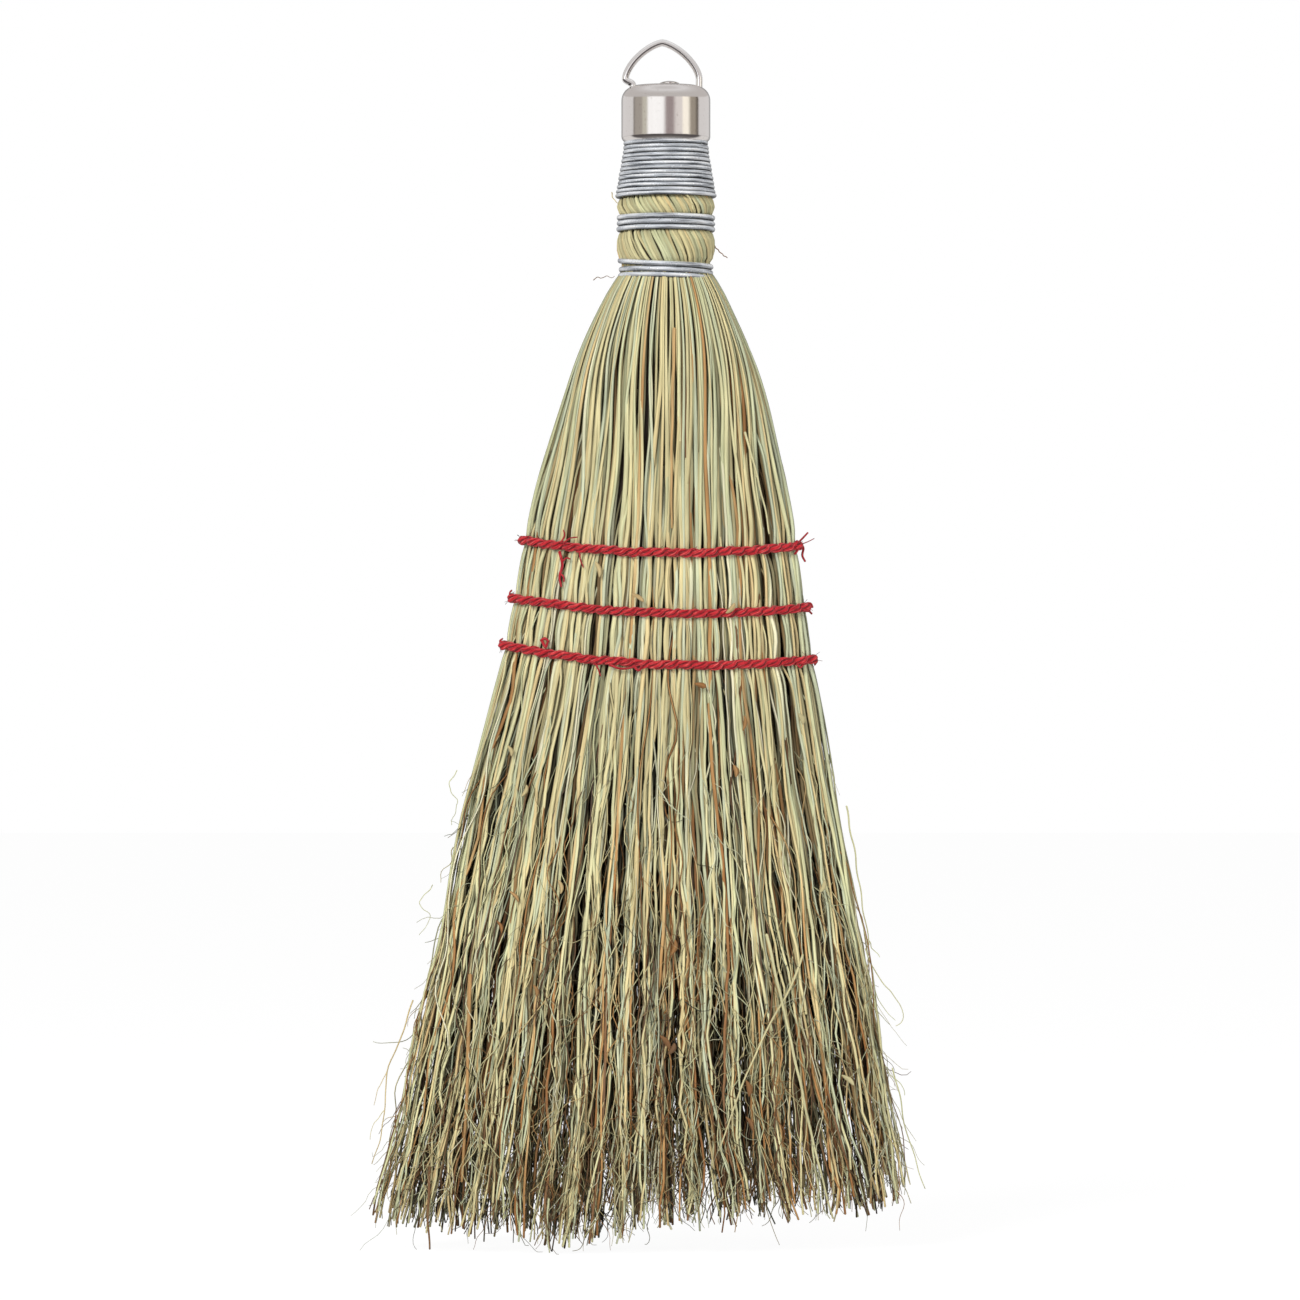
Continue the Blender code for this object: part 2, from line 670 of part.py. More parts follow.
def cap_profile():
    """The cap's wall: a domed top, a round shoulder, a straight side and a lip curled in."""
    shoulder_r = CAP_RADIUS - CAP_SHOULDER_RADIUS
    shoulder_z = Z_CAP_TOP - CAP_DOME - CAP_SHOULDER_RADIUS
    curl_r = CAP_RADIUS - CAP_CURL_RADIUS
    curl_z = Z_CAP_RIM + CAP_CURL_RADIUS
    lip_r = UPPER_SEAT_HIGH_RADIUS + GAP
    inner_shoulder = CAP_SHOULDER_RADIUS - CAP_WALL
    inner_curl = CAP_CURL_RADIUS - CAP_WALL
    outside = [(0, Z_CAP_TOP)]
    outside += arc_points(shoulder_r, shoulder_z, CAP_SHOULDER_RADIUS, 90, 0, CAP_SHOULDER_POINTS)
    outside += arc_points(curl_r, curl_z, CAP_CURL_RADIUS, 0, -90, CAP_CURL_POINTS)
    inside = arc_points(curl_r, curl_z, inner_curl, -90, 0, CAP_INNER_CURL_POINTS)
    inside += arc_points(shoulder_r, shoulder_z, inner_shoulder, 0, 90, CAP_SHOULDER_POINTS)
    inside += [(0, Z_CAP_TOP - CAP_WALL)]
    return outside + [(lip_r, Z_CAP_RIM), (lip_r, Z_CAP_RIM + CAP_WALL)] + inside


def add_slot_cutter():
    """Two upright slots through the cap's shoulder, long enough for the ring to swing in."""
    bm = bmesh.new()
    clear = RING_WIRE_RADIUS + GAP
    inner, outer = RING_HOLE_OFFSET - clear, RING_HOLE_OFFSET + clear + RING_SLOT_SPREAD
    half_x = (outer - inner) / 2
    half_y = clear / math.cos(RING_SWING) + 2 * CAP_WALL * math.tan(RING_SWING)
    bottom, top = Z_CAP_TOP - CAP_SHOULDER_RADIUS, Z_CAP_TOP + OVERRUN
    for side in (-1, 1):
        made = bmesh.ops.create_cone(
            bm, cap_ends=True, segments=RING_SLOT_SIDES, radius1=half_x, radius2=half_x,
            depth=top - bottom,
        )
        middle = Vector((HEAD_LEAN + side * (inner + outer) / 2, 0, (bottom + top) / 2))
        for vert in made["verts"]:
            vert.co.y *= half_y / half_x
            vert.co += middle
    return mesh_object("ring_slot_cutter", bm, NICKEL, smooth=False)


def add_nail_bore(name, bottom, top):
    """A straight bore round the nail's shank."""
    bm = bmesh.new()
    made = bmesh.ops.create_cone(
        bm, cap_ends=True, segments=NAIL_SIDES, radius1=NAIL_SHANK_RADIUS + GAP,
        radius2=NAIL_SHANK_RADIUS + GAP, depth=top - bottom,
    )
    for vert in made["verts"]:
        vert.co += Vector((HEAD_LEAN + NAIL_OFFSET, 0, (bottom + top) / 2))
    return mesh_object(name, bm, NICKEL, smooth=False)


def add_cap():
    """The drawn cap, cut for the nail and for the ring's two ends."""
    cap = mesh_object("cap_shell", turned_mesh(cap_profile(), CAP_STEPS, HEAD_LEAN), NICKEL)
    cut(cap, add_slot_cutter())
    cut(cap, add_nail_bore("cap_bore_cutter", Z_CAP_TOP - OVERRUN, Z_CAP_TOP + OVERRUN))
    return cap


def add_nail():
    """The nail through the top of the cap, with a low domed head."""
    seat = Z_CAP_TOP + GAP
    rise = NAIL_HEAD_HEIGHT
    profile = [(0, seat + rise)]
    for reach_share, rise_share in NAIL_DOME_SHARES:
        profile.append((NAIL_HEAD_RADIUS * reach_share, seat + rise * rise_share))
    profile.append((NAIL_HEAD_RADIUS, seat))
    profile.append((NAIL_SHANK_RADIUS, seat))
    profile.append((NAIL_SHANK_RADIUS, seat - NAIL_LENGTH + NAIL_POINT))
    profile.append((0, seat - NAIL_LENGTH))
    return mesh_object("cap_nail", turned_mesh(profile, NAIL_SIDES, HEAD_LEAN + NAIL_OFFSET), NICKEL)


def ring_route():
    """Points along the ring's wire from its pivot: toe, tail, arch, tail and toe."""
    arch = []
    for angle in np.radians(np.linspace(0, 180, RING_ARCH_POINTS)):
        rise = RING_ARCH_HEIGHT * math.sin(angle) ** (2 / RING_ARCH_POWER)
        arch.append((RING_HALF_WIDTH * math.cos(angle) - RING_PULL, RING_ARCH_RISE + rise))
    toe = RING_WIRE_RADIUS
    toe_x, toe_z = (share * toe for share in TOE_BEND_SHARES)
    ends = [
        (RING_HOLE_OFFSET - RING_TOE, -RING_TAIL),
        (RING_HOLE_OFFSET - toe, -RING_TAIL),
        (RING_HOLE_OFFSET - toe_x, -RING_TAIL + toe_z),
        (RING_HOLE_OFFSET, -RING_TAIL / 2),
        (RING_HOLE_OFFSET, 0),
    ]
    left = [(-x, z) for x, z in reversed(ends)]
    return [Vector((x, 0, z)) for x, z in ends + arch + left]


def add_ring():
    """The hang ring, bent from plated wire, on an empty at its pivot in the cap's shoulders."""
    curve = bpy.data.curves.new("hang_ring", "CURVE")
    curve.dimensions = "3D"
    curve.bevel_depth = RING_WIRE_RADIUS
    curve.bevel_resolution = RING_BEVEL_STEPS
    curve.use_fill_caps = True
    route = ring_route()
    spline = curve.splines.new("POLY")
    spline.points.add(len(route) - 1)
    for point, place in zip(spline.points, route):
        point.co = (*place, 1)
    ring = add_object("hang_ring", curve, NICKEL)
    pivot = bpy.data.objects.new("ring_pivot", None)
    bpy.context.scene.collection.objects.link(pivot)
    pivot.location = (HEAD_LEAN, 0, Z_RING_PIVOT)
    ring.parent = pivot
    return ring


def main():
    for old in list(bpy.data.objects):
        bpy.data.objects.remove(old)
    hurl, edge = hurl_section(), shoulder_section()
    add_bunch("back_hurl", hurl, STRAW, seed=11)
    front = add_bunch("front_hurl", hurl.turned(1, -1), STRAW, seed=12)
    right = add_bunch("right_shoulder_straw", edge, STRAW_GREEN, seed=13)
    add_bunch("left_shoulder_straw", edge.turned(-1, 1), STRAW_GREEN, seed=14)
    add_bunch("centre_straw", core_section(), STRAW_CORE, seed=15, trimmed=False)
    neck = add_neck()
    upper_start = UPPER_END_ANGLE - 2 * math.pi * UPPER_TURNS
    upper = wire_winding(
        Z_UPPER_BAND, UPPER_TURNS, WIRE_PITCH, UPPER_SEAT_LOW_RADIUS, UPPER_SEAT_HIGH_RADIUS,
        upper_start,
    )
    middle = wire_winding(
        Z_MIDDLE_BAND, BAND_TURNS, BAND_PITCH, MIDDLE_SEAT_RADIUS, MIDDLE_SEAT_RADIUS,
        BAND_START_ANGLE,
    )
    lower = wire_winding(
        Z_LOWER_BAND, BAND_TURNS, BAND_PITCH, LOWER_SEAT_RADIUS, LOWER_SEAT_RADIUS,
        BAND_START_ANGLE,
    )
    upper.add("upper_wire_binding", GALVANISED)
    middle.add("middle_wire_binding", GALVANISED)
    lower.add("lower_wire_binding", GALVANISED)
    rows = {name: twine_winding(height) for name, height in ROWS.items()}
    for name, row in rows.items():
        row.add(name + "_twine_row", TWINE_RED)
    cut(neck, add_hole_cutter("neck_hole_cutter", [upper, middle, lower]))
    nail_tip = Z_CAP_TOP - NAIL_LENGTH
    cut(neck, add_nail_bore("neck_bore_cutter", nail_tip, Z_CAP_TOP))
    straw_holes = add_hole_cutter("straw_hole_cutter", [lower, *rows.values()])
    cut(right, straw_holes)
    cut(front, straw_holes)
    add_cap()
    add_nail()
    add_ring()


main()
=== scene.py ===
"""The looks of the whisk broom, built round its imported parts.

The straw head, the twisted neck, the wire and twine windings, the cap, its nail and the hang ring
are each a class that holds its sizes in metres and makes its own meshes. +Z runs up the broom, +X
to the right of its front, and the front faces -Y.
"""

import json
import logging
import math
from dataclasses import dataclass, fields, replace
from enum import Enum

import bpy
import numpy as np
from numpy.typing import NDArray
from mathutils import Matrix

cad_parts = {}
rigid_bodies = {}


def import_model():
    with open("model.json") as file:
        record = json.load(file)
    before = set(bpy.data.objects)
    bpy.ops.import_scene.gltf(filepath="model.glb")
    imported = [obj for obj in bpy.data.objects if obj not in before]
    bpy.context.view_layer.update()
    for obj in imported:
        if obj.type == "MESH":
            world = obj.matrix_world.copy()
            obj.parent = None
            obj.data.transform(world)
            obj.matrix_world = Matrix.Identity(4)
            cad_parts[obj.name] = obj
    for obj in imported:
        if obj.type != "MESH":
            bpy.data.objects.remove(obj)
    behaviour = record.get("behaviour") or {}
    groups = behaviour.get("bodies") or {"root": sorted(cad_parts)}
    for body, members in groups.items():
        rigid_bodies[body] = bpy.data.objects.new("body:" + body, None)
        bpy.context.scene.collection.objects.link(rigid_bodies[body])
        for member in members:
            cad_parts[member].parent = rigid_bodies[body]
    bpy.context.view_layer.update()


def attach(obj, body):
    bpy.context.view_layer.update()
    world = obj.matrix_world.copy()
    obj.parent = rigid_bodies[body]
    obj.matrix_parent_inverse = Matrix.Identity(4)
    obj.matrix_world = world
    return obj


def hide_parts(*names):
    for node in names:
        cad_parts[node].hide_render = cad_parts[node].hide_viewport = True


Array = NDArray[np.float64]
Rows = NDArray[np.bool_]
Random = np.random.Generator
Socket = bpy.types.NodeSocket
Material = bpy.types.Material
Range = tuple[float, float]
Span = tuple[float, float, float, float]
Table = tuple[Range, ...]
Colour = tuple[float, float, float]
Stops = tuple[tuple[float, Colour], ...]
log = logging.getLogger("whisk_broom")

BAKE_MAP = "OFBake"
TONE = "tone"
# The shade attribute is painted light and shade: a level baked into each point that darkens or lifts its
# colour.
SHADE = "shade"
GRAIN = "grain"
MM_A_METRE = 1000
SHARP_ANGLE = math.radians(40)
MAP_END = 0.02
SOLID_GRAIN = 100
# The dark cores' tone and shade are painted shade for the inside of the straw.
PAINTED_SHADE_CORE_TONE = 0.04
CORE_SHADE = 0.5
NECK_X = 0.0048
CAP_TOP = 0.293854
TWINE_SEED = 20
MIX_FIRST, MIX_SECOND, MIX_RESULT = 6, 7, 2


class Bunch(Enum):
    """The bunches of straw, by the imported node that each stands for."""

    FRONT = "front_hurl"
    BACK = "back_hurl"
    LEFT = "left_shoulder_straw"
    RIGHT = "right_shoulder_straw"
    CORE = "centre_straw"


# Numbers

def srgb(red: float, green: float, blue: float) -> Colour:
    """A screen colour of bytes as the linear colour that a shader takes."""
    r, g, b = (((value / 255 + 0.055) / 1.055) ** 2.4 for value in (red, green, blue))
    return r, g, b


def smooth_table(table: Table | Array, at: Array) -> Array:
    """A smooth line through a table: cubic pieces whose slopes are the mean slopes at the places.

    Args:
        table: Places in rising order, each with its value.
        at: Where to read the line.

    Returns:
        The value at each place asked for, level beyond the ends.
    """
    places, values = np.array(table).T
    slopes = np.gradient(values, places)
    at = np.clip(at, places[0], places[-1])
    low = np.clip(np.searchsorted(places, at) - 1, 0, len(places) - 2)
    span = places[low + 1] - places[low]
    t = (at - places[low]) / span
    rise = 3 * t**2 - 2 * t**3
    start = t * (1 - t) ** 2 * span * slopes[low]
    end = t**2 * (t - 1) * span * slopes[low + 1]
    return values[low] * (1 - rise) + values[low + 1] * rise + start + end


def eased(t: Array) -> Array:
    """A share from 0 to 1 that starts and stops gently: three squares less two cubes."""
    t = np.clip(t, 0, 1)
    return t * t * (3 - 2 * t)


def straight_table(table: Table, at: Array) -> Array:
    """The value of a table at each place, straight from one place to the next."""
    return np.interp(at, *np.array(table).T)


def unit(vectors: Array) -> Array:
    """Vectors of length one, along the last axis."""
    return vectors / np.maximum(np.linalg.norm(vectors, axis=-1, keepdims=True), 1e-12)


def waves(draw: Random, along: Array, lengths: Range, count: int) -> Array:
    """A wander for each strand: a sum of sines of the run, each with its own length and phase.

    Args:
        draw: The random draws.
        along: The run along each strand in metres, one row a strand.
        lengths: The shortest and longest wave.
        count: How many sines are summed.

    Returns:
        The wander, about one unit high, in the shape of along.
    """
    rows = (len(along), 1, count)
    length = draw.uniform(lengths[0], lengths[1], rows)
    phase = draw.uniform(0, 2 * math.pi, rows)
    size = draw.normal(0, 1 / math.sqrt(count), rows)
    return (size * np.sin(2 * math.pi * along[..., None] / length + phase)).sum(-1)


@dataclass(frozen=True)
class Wander:
    """A wandering of strands: its size, its shortest and longest wave, and how many sines it sums."""

    size: float
    lengths: Range
    sines: int = 2

    def drawn(self, draw: Random, along: Array) -> Array:
        """The size times the waves of the run."""
        return self.size * waves(draw, along, self.lengths, self.sines)


@dataclass(frozen=True)
class Ramp:
    """A gentle rise from 0 to 1 over a reach from its start, downwards where the reach is negative."""

    start: float
    reach: float

    def at(self, value: Array) -> Array:
        """The share reached at each value."""
        return eased((value - self.start) / self.reach)


def resampled(line: Array, steps: int) -> Array:
    """A smooth line through a few points, with even steps along it.

    Args:
        line: The points, one a row.
        steps: How many points the smooth line has.

    Returns:
        Each column read off a smooth table over the run from point to point.
    """
    run = np.concatenate([[0], np.cumsum(np.linalg.norm(np.diff(line, axis=0), axis=1))])
    fine = np.linspace(0, run[-1], steps)
    return np.stack([smooth_table(np.stack([run, column], 1), fine) for column in line.T], -1)


# Meshes

@dataclass
class Surface:
    """A closed mesh before it goes into Blender: points, face corners and sizes, and its attributes."""

    points: Array
    corners: Array
    sizes: Array
    places: Array
    tone: Array
    shade: Array
    grain: Array

    @staticmethod
    def joined(parts: "list[Surface]") -> "Surface":
        """Several surfaces as one.

        Args:
            parts: The surfaces, in order.

        Returns:
            Their values one after another, with the corners counted on from surface to surface.
        """
        firsts = np.cumsum([0] + [len(part.points) for part in parts[:-1]])
        moved = [replace(part, corners=part.corners + first) for part, first in zip(parts, firsts)]
        return Surface(*(
            np.concatenate([getattr(part, field.name) for part in moved]) for field in fields(Surface)))


@dataclass
class Strands:
    """Many tubes of one kind, each a path with a radius along it."""

    paths: Array
    radii: Array
    facing: Array
    tone: Array
    shade: Array
    sides: int = 5
    thickness: float = 1.0
    point_share: float = 0.6
    # edge_shade, lean, back_light and light_gain set painted shade on the flanks and a painted highlight on
    # the lit side.
    edge_shade: float = 0.04
    flat: bool = False
    lean: float = 0.0
    back_light: float = 0.7
    light_gain: float = 1.3
    map_shape: int = 8
    map_margin: float = 0.1
    line_margin: float = 0.03
    grain_step: float = 7.3

    def picked(self, rows: Rows) -> "Strands":
        """Only the strands of these rows."""
        kept = {name: getattr(self, name)[rows] for name in ("paths", "radii", "facing", "tone", "shade")}
        return replace(self, **kept)

    def surface(self) -> Surface:
        """The tubes as one surface.

        A ring's point is the path's point plus the radius times the sum of the cosine of its angle
        along the way the strand faces, thinned, and its sine along the third direction. Each end
        closes on a point a share of its radius beyond the path. A ring of five points is turned by
        half a step, so that a flat side faces out. The flanks get painted shade by the cosine, for the
        dark between neighbours: these lie round the strand's facing, turned by its lean, or in a
        flat bunch to its left and right. A lean also turns the brightest side, a painted highlight.
        On the map each strand has a cell of its own.

        Returns:
            Quads between the rings and triangles at the ends.
        """
        count, steps, sides = len(self.paths), self.paths.shape[1], self.sides
        ahead = unit(np.gradient(self.paths, axis=1))
        across = unit(np.cross(ahead, self.facing))
        out = np.cross(across, ahead)
        half_step = 0.5 if sides == 5 else 0
        angles = 2 * math.pi * (np.arange(sides) + half_step) / sides
        ring = (
            self.thickness * np.cos(angles)[:, None] * out[:, :, None]
            + np.sin(angles)[:, None] * across[:, :, None]
        )
        rings = self.paths[:, :, None] + self.radii[:, :, None, None] * ring
        reach = self.point_share * self.radii[..., None] * ahead
        poles = np.stack([self.paths[:, 0] - reach[:, 0], self.paths[:, -1] + reach[:, -1]], 1)
        points = np.concatenate([rings.reshape(count, -1, 3), poles], 1)
        corners, sizes = tube_faces(steps, sides)
        offsets = (steps * sides + 2) * np.arange(count)[:, None]

        columns = max(1, math.ceil(math.sqrt(self.map_shape * count)))
        lines = math.ceil(count / columns)
        cell = np.arange(count)
        along = np.linspace(self.line_margin, 1 - self.line_margin, steps)[:, None]
        inside = self.map_margin + (1 - 2 * self.map_margin) * np.arange(sides) / (sides - 1)
        u = (cell % columns)[:, None, None] + inside
        v = (cell // columns)[:, None, None] + along
        places = np.stack(np.broadcast_arrays(u / columns, v / lines), -1)

        full = np.ones((count, steps, sides))
        # Painted shade and light: darker towards the flanks, brightest on the side that the lean turns to.
        lit = np.broadcast_to(np.cos(angles + self.lean), (count, steps, sides))
        if self.flat:
            side_on = out[..., 1:2] * np.cos(angles) + across[..., 1:2] * np.sin(angles)
            lit = side_on * np.sign(out[..., 1:2])
            lit = np.maximum(lit, -self.back_light * lit)
        lit = self.edge_shade + (1 - self.edge_shade) * np.clip(self.light_gain * lit, 0, 1)
        shade = self.shade.reshape(count, -1, 1) * full * lit
        tone = self.tone.reshape(count, -1, 1) * full
        run = np.linalg.norm(np.diff(self.paths, axis=1, prepend=self.paths[:, :1]), axis=-1).cumsum(1)
        shift = self.grain_step * cell[:, None, None]
        grain = np.stack(np.broadcast_arrays(
            np.cos(angles) + shift, np.sin(angles) - shift, run[..., None]), -1)
        return Surface(
            points.reshape(-1, 3), (corners + offsets).reshape(-1), np.tile(sizes, count),
            with_ends(places), with_ends(tone[..., None])[:, 0], with_ends(shade[..., None])[:, 0],
            with_ends(grain),
        )


def with_ends(values: Array) -> Array:
    """Values of each ring's points, with the first and last repeated for the two end points.

    Args:
        values: By strand, ring, point and column.

    Returns:
        One row a point, strand after strand.
    """
    count, _, _, width = values.shape
    flat = values.reshape(count, -1, width)
    return np.concatenate([flat, flat[:, :1], flat[:, -1:]], 1).reshape(-1, width)


def tube_faces(rings: int, sides: int) -> tuple[Array, Array]:
    """The faces of one tube of rings, whose two end points come after its rings.

    Args:
        rings: How many rings.
        sides: How many points each has.

    Returns:
        The corners of quads from ring to ring, then of the two fans, and each face's size.
    """
    ring, side = np.meshgrid(np.arange(rings - 1), np.arange(sides), indexing="ij")
    after = (side + 1) % sides
    quads = np.stack([
        ring * sides + side, ring * sides + after, (ring + 1) * sides + after, (ring + 1) * sides + side,
    ], -1).reshape(-1)
    turn = np.arange(sides)
    after = (turn + 1) % sides
    first, last = rings * sides, (rings - 1) * sides
    near = np.stack([np.full(sides, first), after, turn], -1).reshape(-1)
    far = np.stack([np.full(sides, first + 1), last + turn, last + after], -1).reshape(-1)
    sizes = np.concatenate([np.full(ring.size, 4), np.full(2 * sides, 3)])
    return np.concatenate([quads, near, far]), sizes


def grid_surface(grid: Array, tone: float = 0.5, shade: float = 1.0) -> Surface:
    """A surface from rows of rings, with the first and last ring closed by a fan onto its middle.

    Args:
        grid: The points, by ring and by place round it.
        tone: The tone of the whole surface.
        shade: The shade of the whole surface.

    Returns:
        The closed surface, whose map runs round it and along it.
    """
    rows, columns = grid.shape[:2]
    corners, sizes = tube_faces(rows, columns)
    points = np.concatenate([grid.reshape(-1, 3), [grid[0].mean(0), grid[-1].mean(0)]])
    u, v = np.meshgrid(np.arange(columns) / (columns - 1), np.linspace(MAP_END, 1 - MAP_END, rows))
    places = np.concatenate([np.stack([u, v], -1).reshape(-1, 2), [[0.5, 0], [0.5, 1]]])
    return Surface(
        points, corners, sizes, places, np.full(len(points), tone), np.full(len(points), shade),
        SOLID_GRAIN * points,
    )


def turned(profile: Array, axis_x: float, columns: int) -> Array:
    """A profile turned about an upright axis.

    Args:
        profile: Radius and height, one point a row.
        axis_x: Where the axis stands.
        columns: How many points go round.

    Returns:
        The points, by ring and by place round it.
    """
    turn = -2 * math.pi * np.arange(columns) / columns
    return np.stack([
        axis_x + profile[:, :1] * np.cos(turn), profile[:, :1] * np.sin(turn),
        np.broadcast_to(profile[:, 1:], (len(profile), columns)),
    ], -1)


def facing_front(paths: Array) -> Array:
    """The way towards the front, for every point of some paths."""
    return np.broadcast_to(np.array([0.0, -1.0, 0.0]), paths.shape)


def outward(angle: Array) -> Array:
    """The level way out from an upright axis at each angle, as its cosine and sine."""
    return np.stack([np.cos(angle), np.sin(angle), np.zeros_like(angle)], -1)


def add_piece(name: str, surface: Surface, material: Material) -> bpy.types.Object:
    """Puts a surface into a mesh object with its map, attributes and material.

    Args:
        name: The object's name.
        surface: What to put in.
        material: Its finish.

    Returns:
        The object, at the origin.
    """
    mesh = bpy.data.meshes.new(name)
    mesh.vertices.add(len(surface.points))
    mesh.vertices.foreach_set("co", surface.points.astype(np.float32).ravel())
    mesh.loops.add(len(surface.corners))
    mesh.loops.foreach_set("vertex_index", surface.corners.astype(np.int32))
    mesh.polygons.add(len(surface.sizes))
    starts = np.concatenate([[0], np.cumsum(surface.sizes)[:-1]]).astype(np.int32)
    mesh.polygons.foreach_set("loop_start", starts)
    mesh.update(calc_edges=True)
    mesh.shade_smooth()
    layer = mesh.uv_layers.new(name=BAKE_MAP)
    layer.uv.foreach_set("vector", surface.places[surface.corners].astype(np.float32).ravel())
    for label, values in ((TONE, surface.tone), (SHADE, surface.shade)):
        level = mesh.attributes.new(label, "FLOAT", "POINT")
        level.data.foreach_set("value", values.astype(np.float32))
    grain = mesh.attributes.new(GRAIN, "FLOAT_VECTOR", "POINT")
    grain.data.foreach_set("vector", surface.grain.astype(np.float32).ravel())
    mesh.materials.append(material)
    piece = bpy.data.objects.new(name, mesh)
    bpy.context.scene.collection.objects.link(piece)
    log.info("%s: %d faces, %d triangles", name, len(surface.sizes), int((surface.sizes - 2).sum()))
    return piece


def settle(piece: bpy.types.Object, body: str, slot: str, *nodes: str) -> None:
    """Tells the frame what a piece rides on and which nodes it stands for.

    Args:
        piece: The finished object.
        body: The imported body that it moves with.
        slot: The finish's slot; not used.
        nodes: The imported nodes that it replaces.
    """
    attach(piece, body)
    if nodes:
        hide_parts(*nodes)


# Finishes

@dataclass
class Graph:
    """A material's or world's nodes, with short ways to add the usual ones."""

    nodes: bpy.types.Nodes
    links: bpy.types.NodeLinks

    def add(self, kind: str, **sockets: object) -> bpy.types.Node:
        """A new node.

        Args:
            kind: Its type.
            sockets: A value or a link for sockets, by their names with _ for a space.

        Returns:
            The node.
        """
        made = self.nodes.new(kind)
        for name, value in sockets.items():
            self.put(made.inputs[name.replace("_", " ")], value)
        return made

    def put(self, socket: Socket, value: object) -> None:
        """Links a socket to another, or sets its value.

        Args:
            socket: The socket that takes it.
            value: Another node's socket, or a plain value.
        """
        if isinstance(value, Socket):
            self.links.new(value, socket)
        else:
            socket.default_value = value

    def attribute(self, name: str, output: str = "Fac") -> Socket:
        """One of the mesh's attributes.

        Args:
            name: The attribute.
            output: The socket that gives it, as a level or as a vector.

        Returns:
            That socket.
        """
        made = self.add("ShaderNodeAttribute")
        made.attribute_name = name
        return made.outputs[output]

    def stretched(self, source: Socket, scale: Colour) -> Socket:
        """The source's coordinates, each axis times its scale."""
        return self.add("ShaderNodeMapping", Vector=source, Scale=scale).outputs["Vector"]

    def noise(self, source: Socket, scale: float, detail: float = 2) -> Socket:
        """Cloudy noise on the source's coordinates, from 0 to 1."""
        made = self.add("ShaderNodeTexNoise", Vector=source, Scale=scale, Detail=detail)
        return made.outputs["Fac"]

    def ramp(self, source: Socket, stops: Stops) -> Socket:
        """Colours that blend from stop to stop as the source rises.

        Args:
            source: What picks the place on the ramp.
            stops: Places in rising order, each with its colour.

        Returns:
            The colour.
        """
        made = self.add("ShaderNodeValToRGB", Fac=source)
        band = made.color_ramp.elements
        for index, (place, colour) in enumerate(stops):
            element = band[index] if index < 2 else band.new(place)
            element.position = place
            element.color = (*colour, 1)
        return made.outputs["Color"]

    def mapped(self, source: Socket, span: Span) -> Socket:
        """A value moved from one range to another.

        Args:
            source: The value.
            span: The ends of its own range, then the ends of the new one.

        Returns:
            The new value, held within the new range.
        """
        made = self.add("ShaderNodeMapRange", Value=source)
        for name, value in zip(("From Min", "From Max", "To Min", "To Max"), span):
            made.inputs[name].default_value = value
        return made.outputs["Result"]

    def math(self, kind: str, first: object, second: object) -> Socket:
        """Arithmetic on two values.

        Args:
            kind: The operation.
            first: The first value or socket.
            second: The second one.

        Returns:
            The result.
        """
        made = self.add("ShaderNodeMath")
        made.operation = kind
        self.put(made.inputs[0], first)
        self.put(made.inputs[1], second)
        return made.outputs["Value"]

    def blended(self, share: Socket, first: object, second: object) -> Socket:
        """A blend of two colours.

        Args:
            share: 0 for the first colour and 1 for the second.
            first: The first colour or socket.
            second: The second one.

        Returns:
            The blend.
        """
        made = self.add("ShaderNodeMix")
        made.data_type = "RGBA"
        self.put(made.inputs["Factor"], share)
        self.put(made.inputs[MIX_FIRST], first)
        self.put(made.inputs[MIX_SECOND], second)
        return made.outputs[MIX_RESULT]

    def scaled(self, colour: Socket, level: Socket) -> Socket:
        """A colour times a level.

        Args:
            colour: The colour.
            level: What it is multiplied by.

        Returns:
            The product.
        """
        made = self.add("ShaderNodeVectorMath")
        made.operation = "SCALE"
        self.put(made.inputs[0], colour)
        self.put(made.inputs["Scale"], level)
        return made.outputs["Vector"]

    def bumped(self, height: Socket, strength: float, distance: float) -> Socket:
        """The surface's normal bumped by a height."""
        made = self.add("ShaderNodeBump", Height=height, Strength=strength, Distance=distance)
        return made.outputs["Normal"]


@dataclass(frozen=True)
class Finish:
    """What every finish holds: its name and the levels set on the shader itself."""

    name: str
    roughness: float = 0.6
    metallic: float = 0.0
    specular: float = 0.4

    def started(self) -> tuple[Material, Graph, bpy.types.NodeInputs]:
        """Starts a material with these levels.

        Returns:
            The material, its graph and its shader's inputs.
        """
        made = bpy.data.materials.new(self.name)
        made.use_nodes = True
        graph = Graph(made.node_tree.nodes, made.node_tree.links)
        inputs = graph.nodes["Principled BSDF"].inputs
        inputs["Roughness"].default_value = self.roughness
        inputs["Metallic"].default_value = self.metallic
        inputs["Specular IOR Level"].default_value = self.specular
        return made, graph, inputs


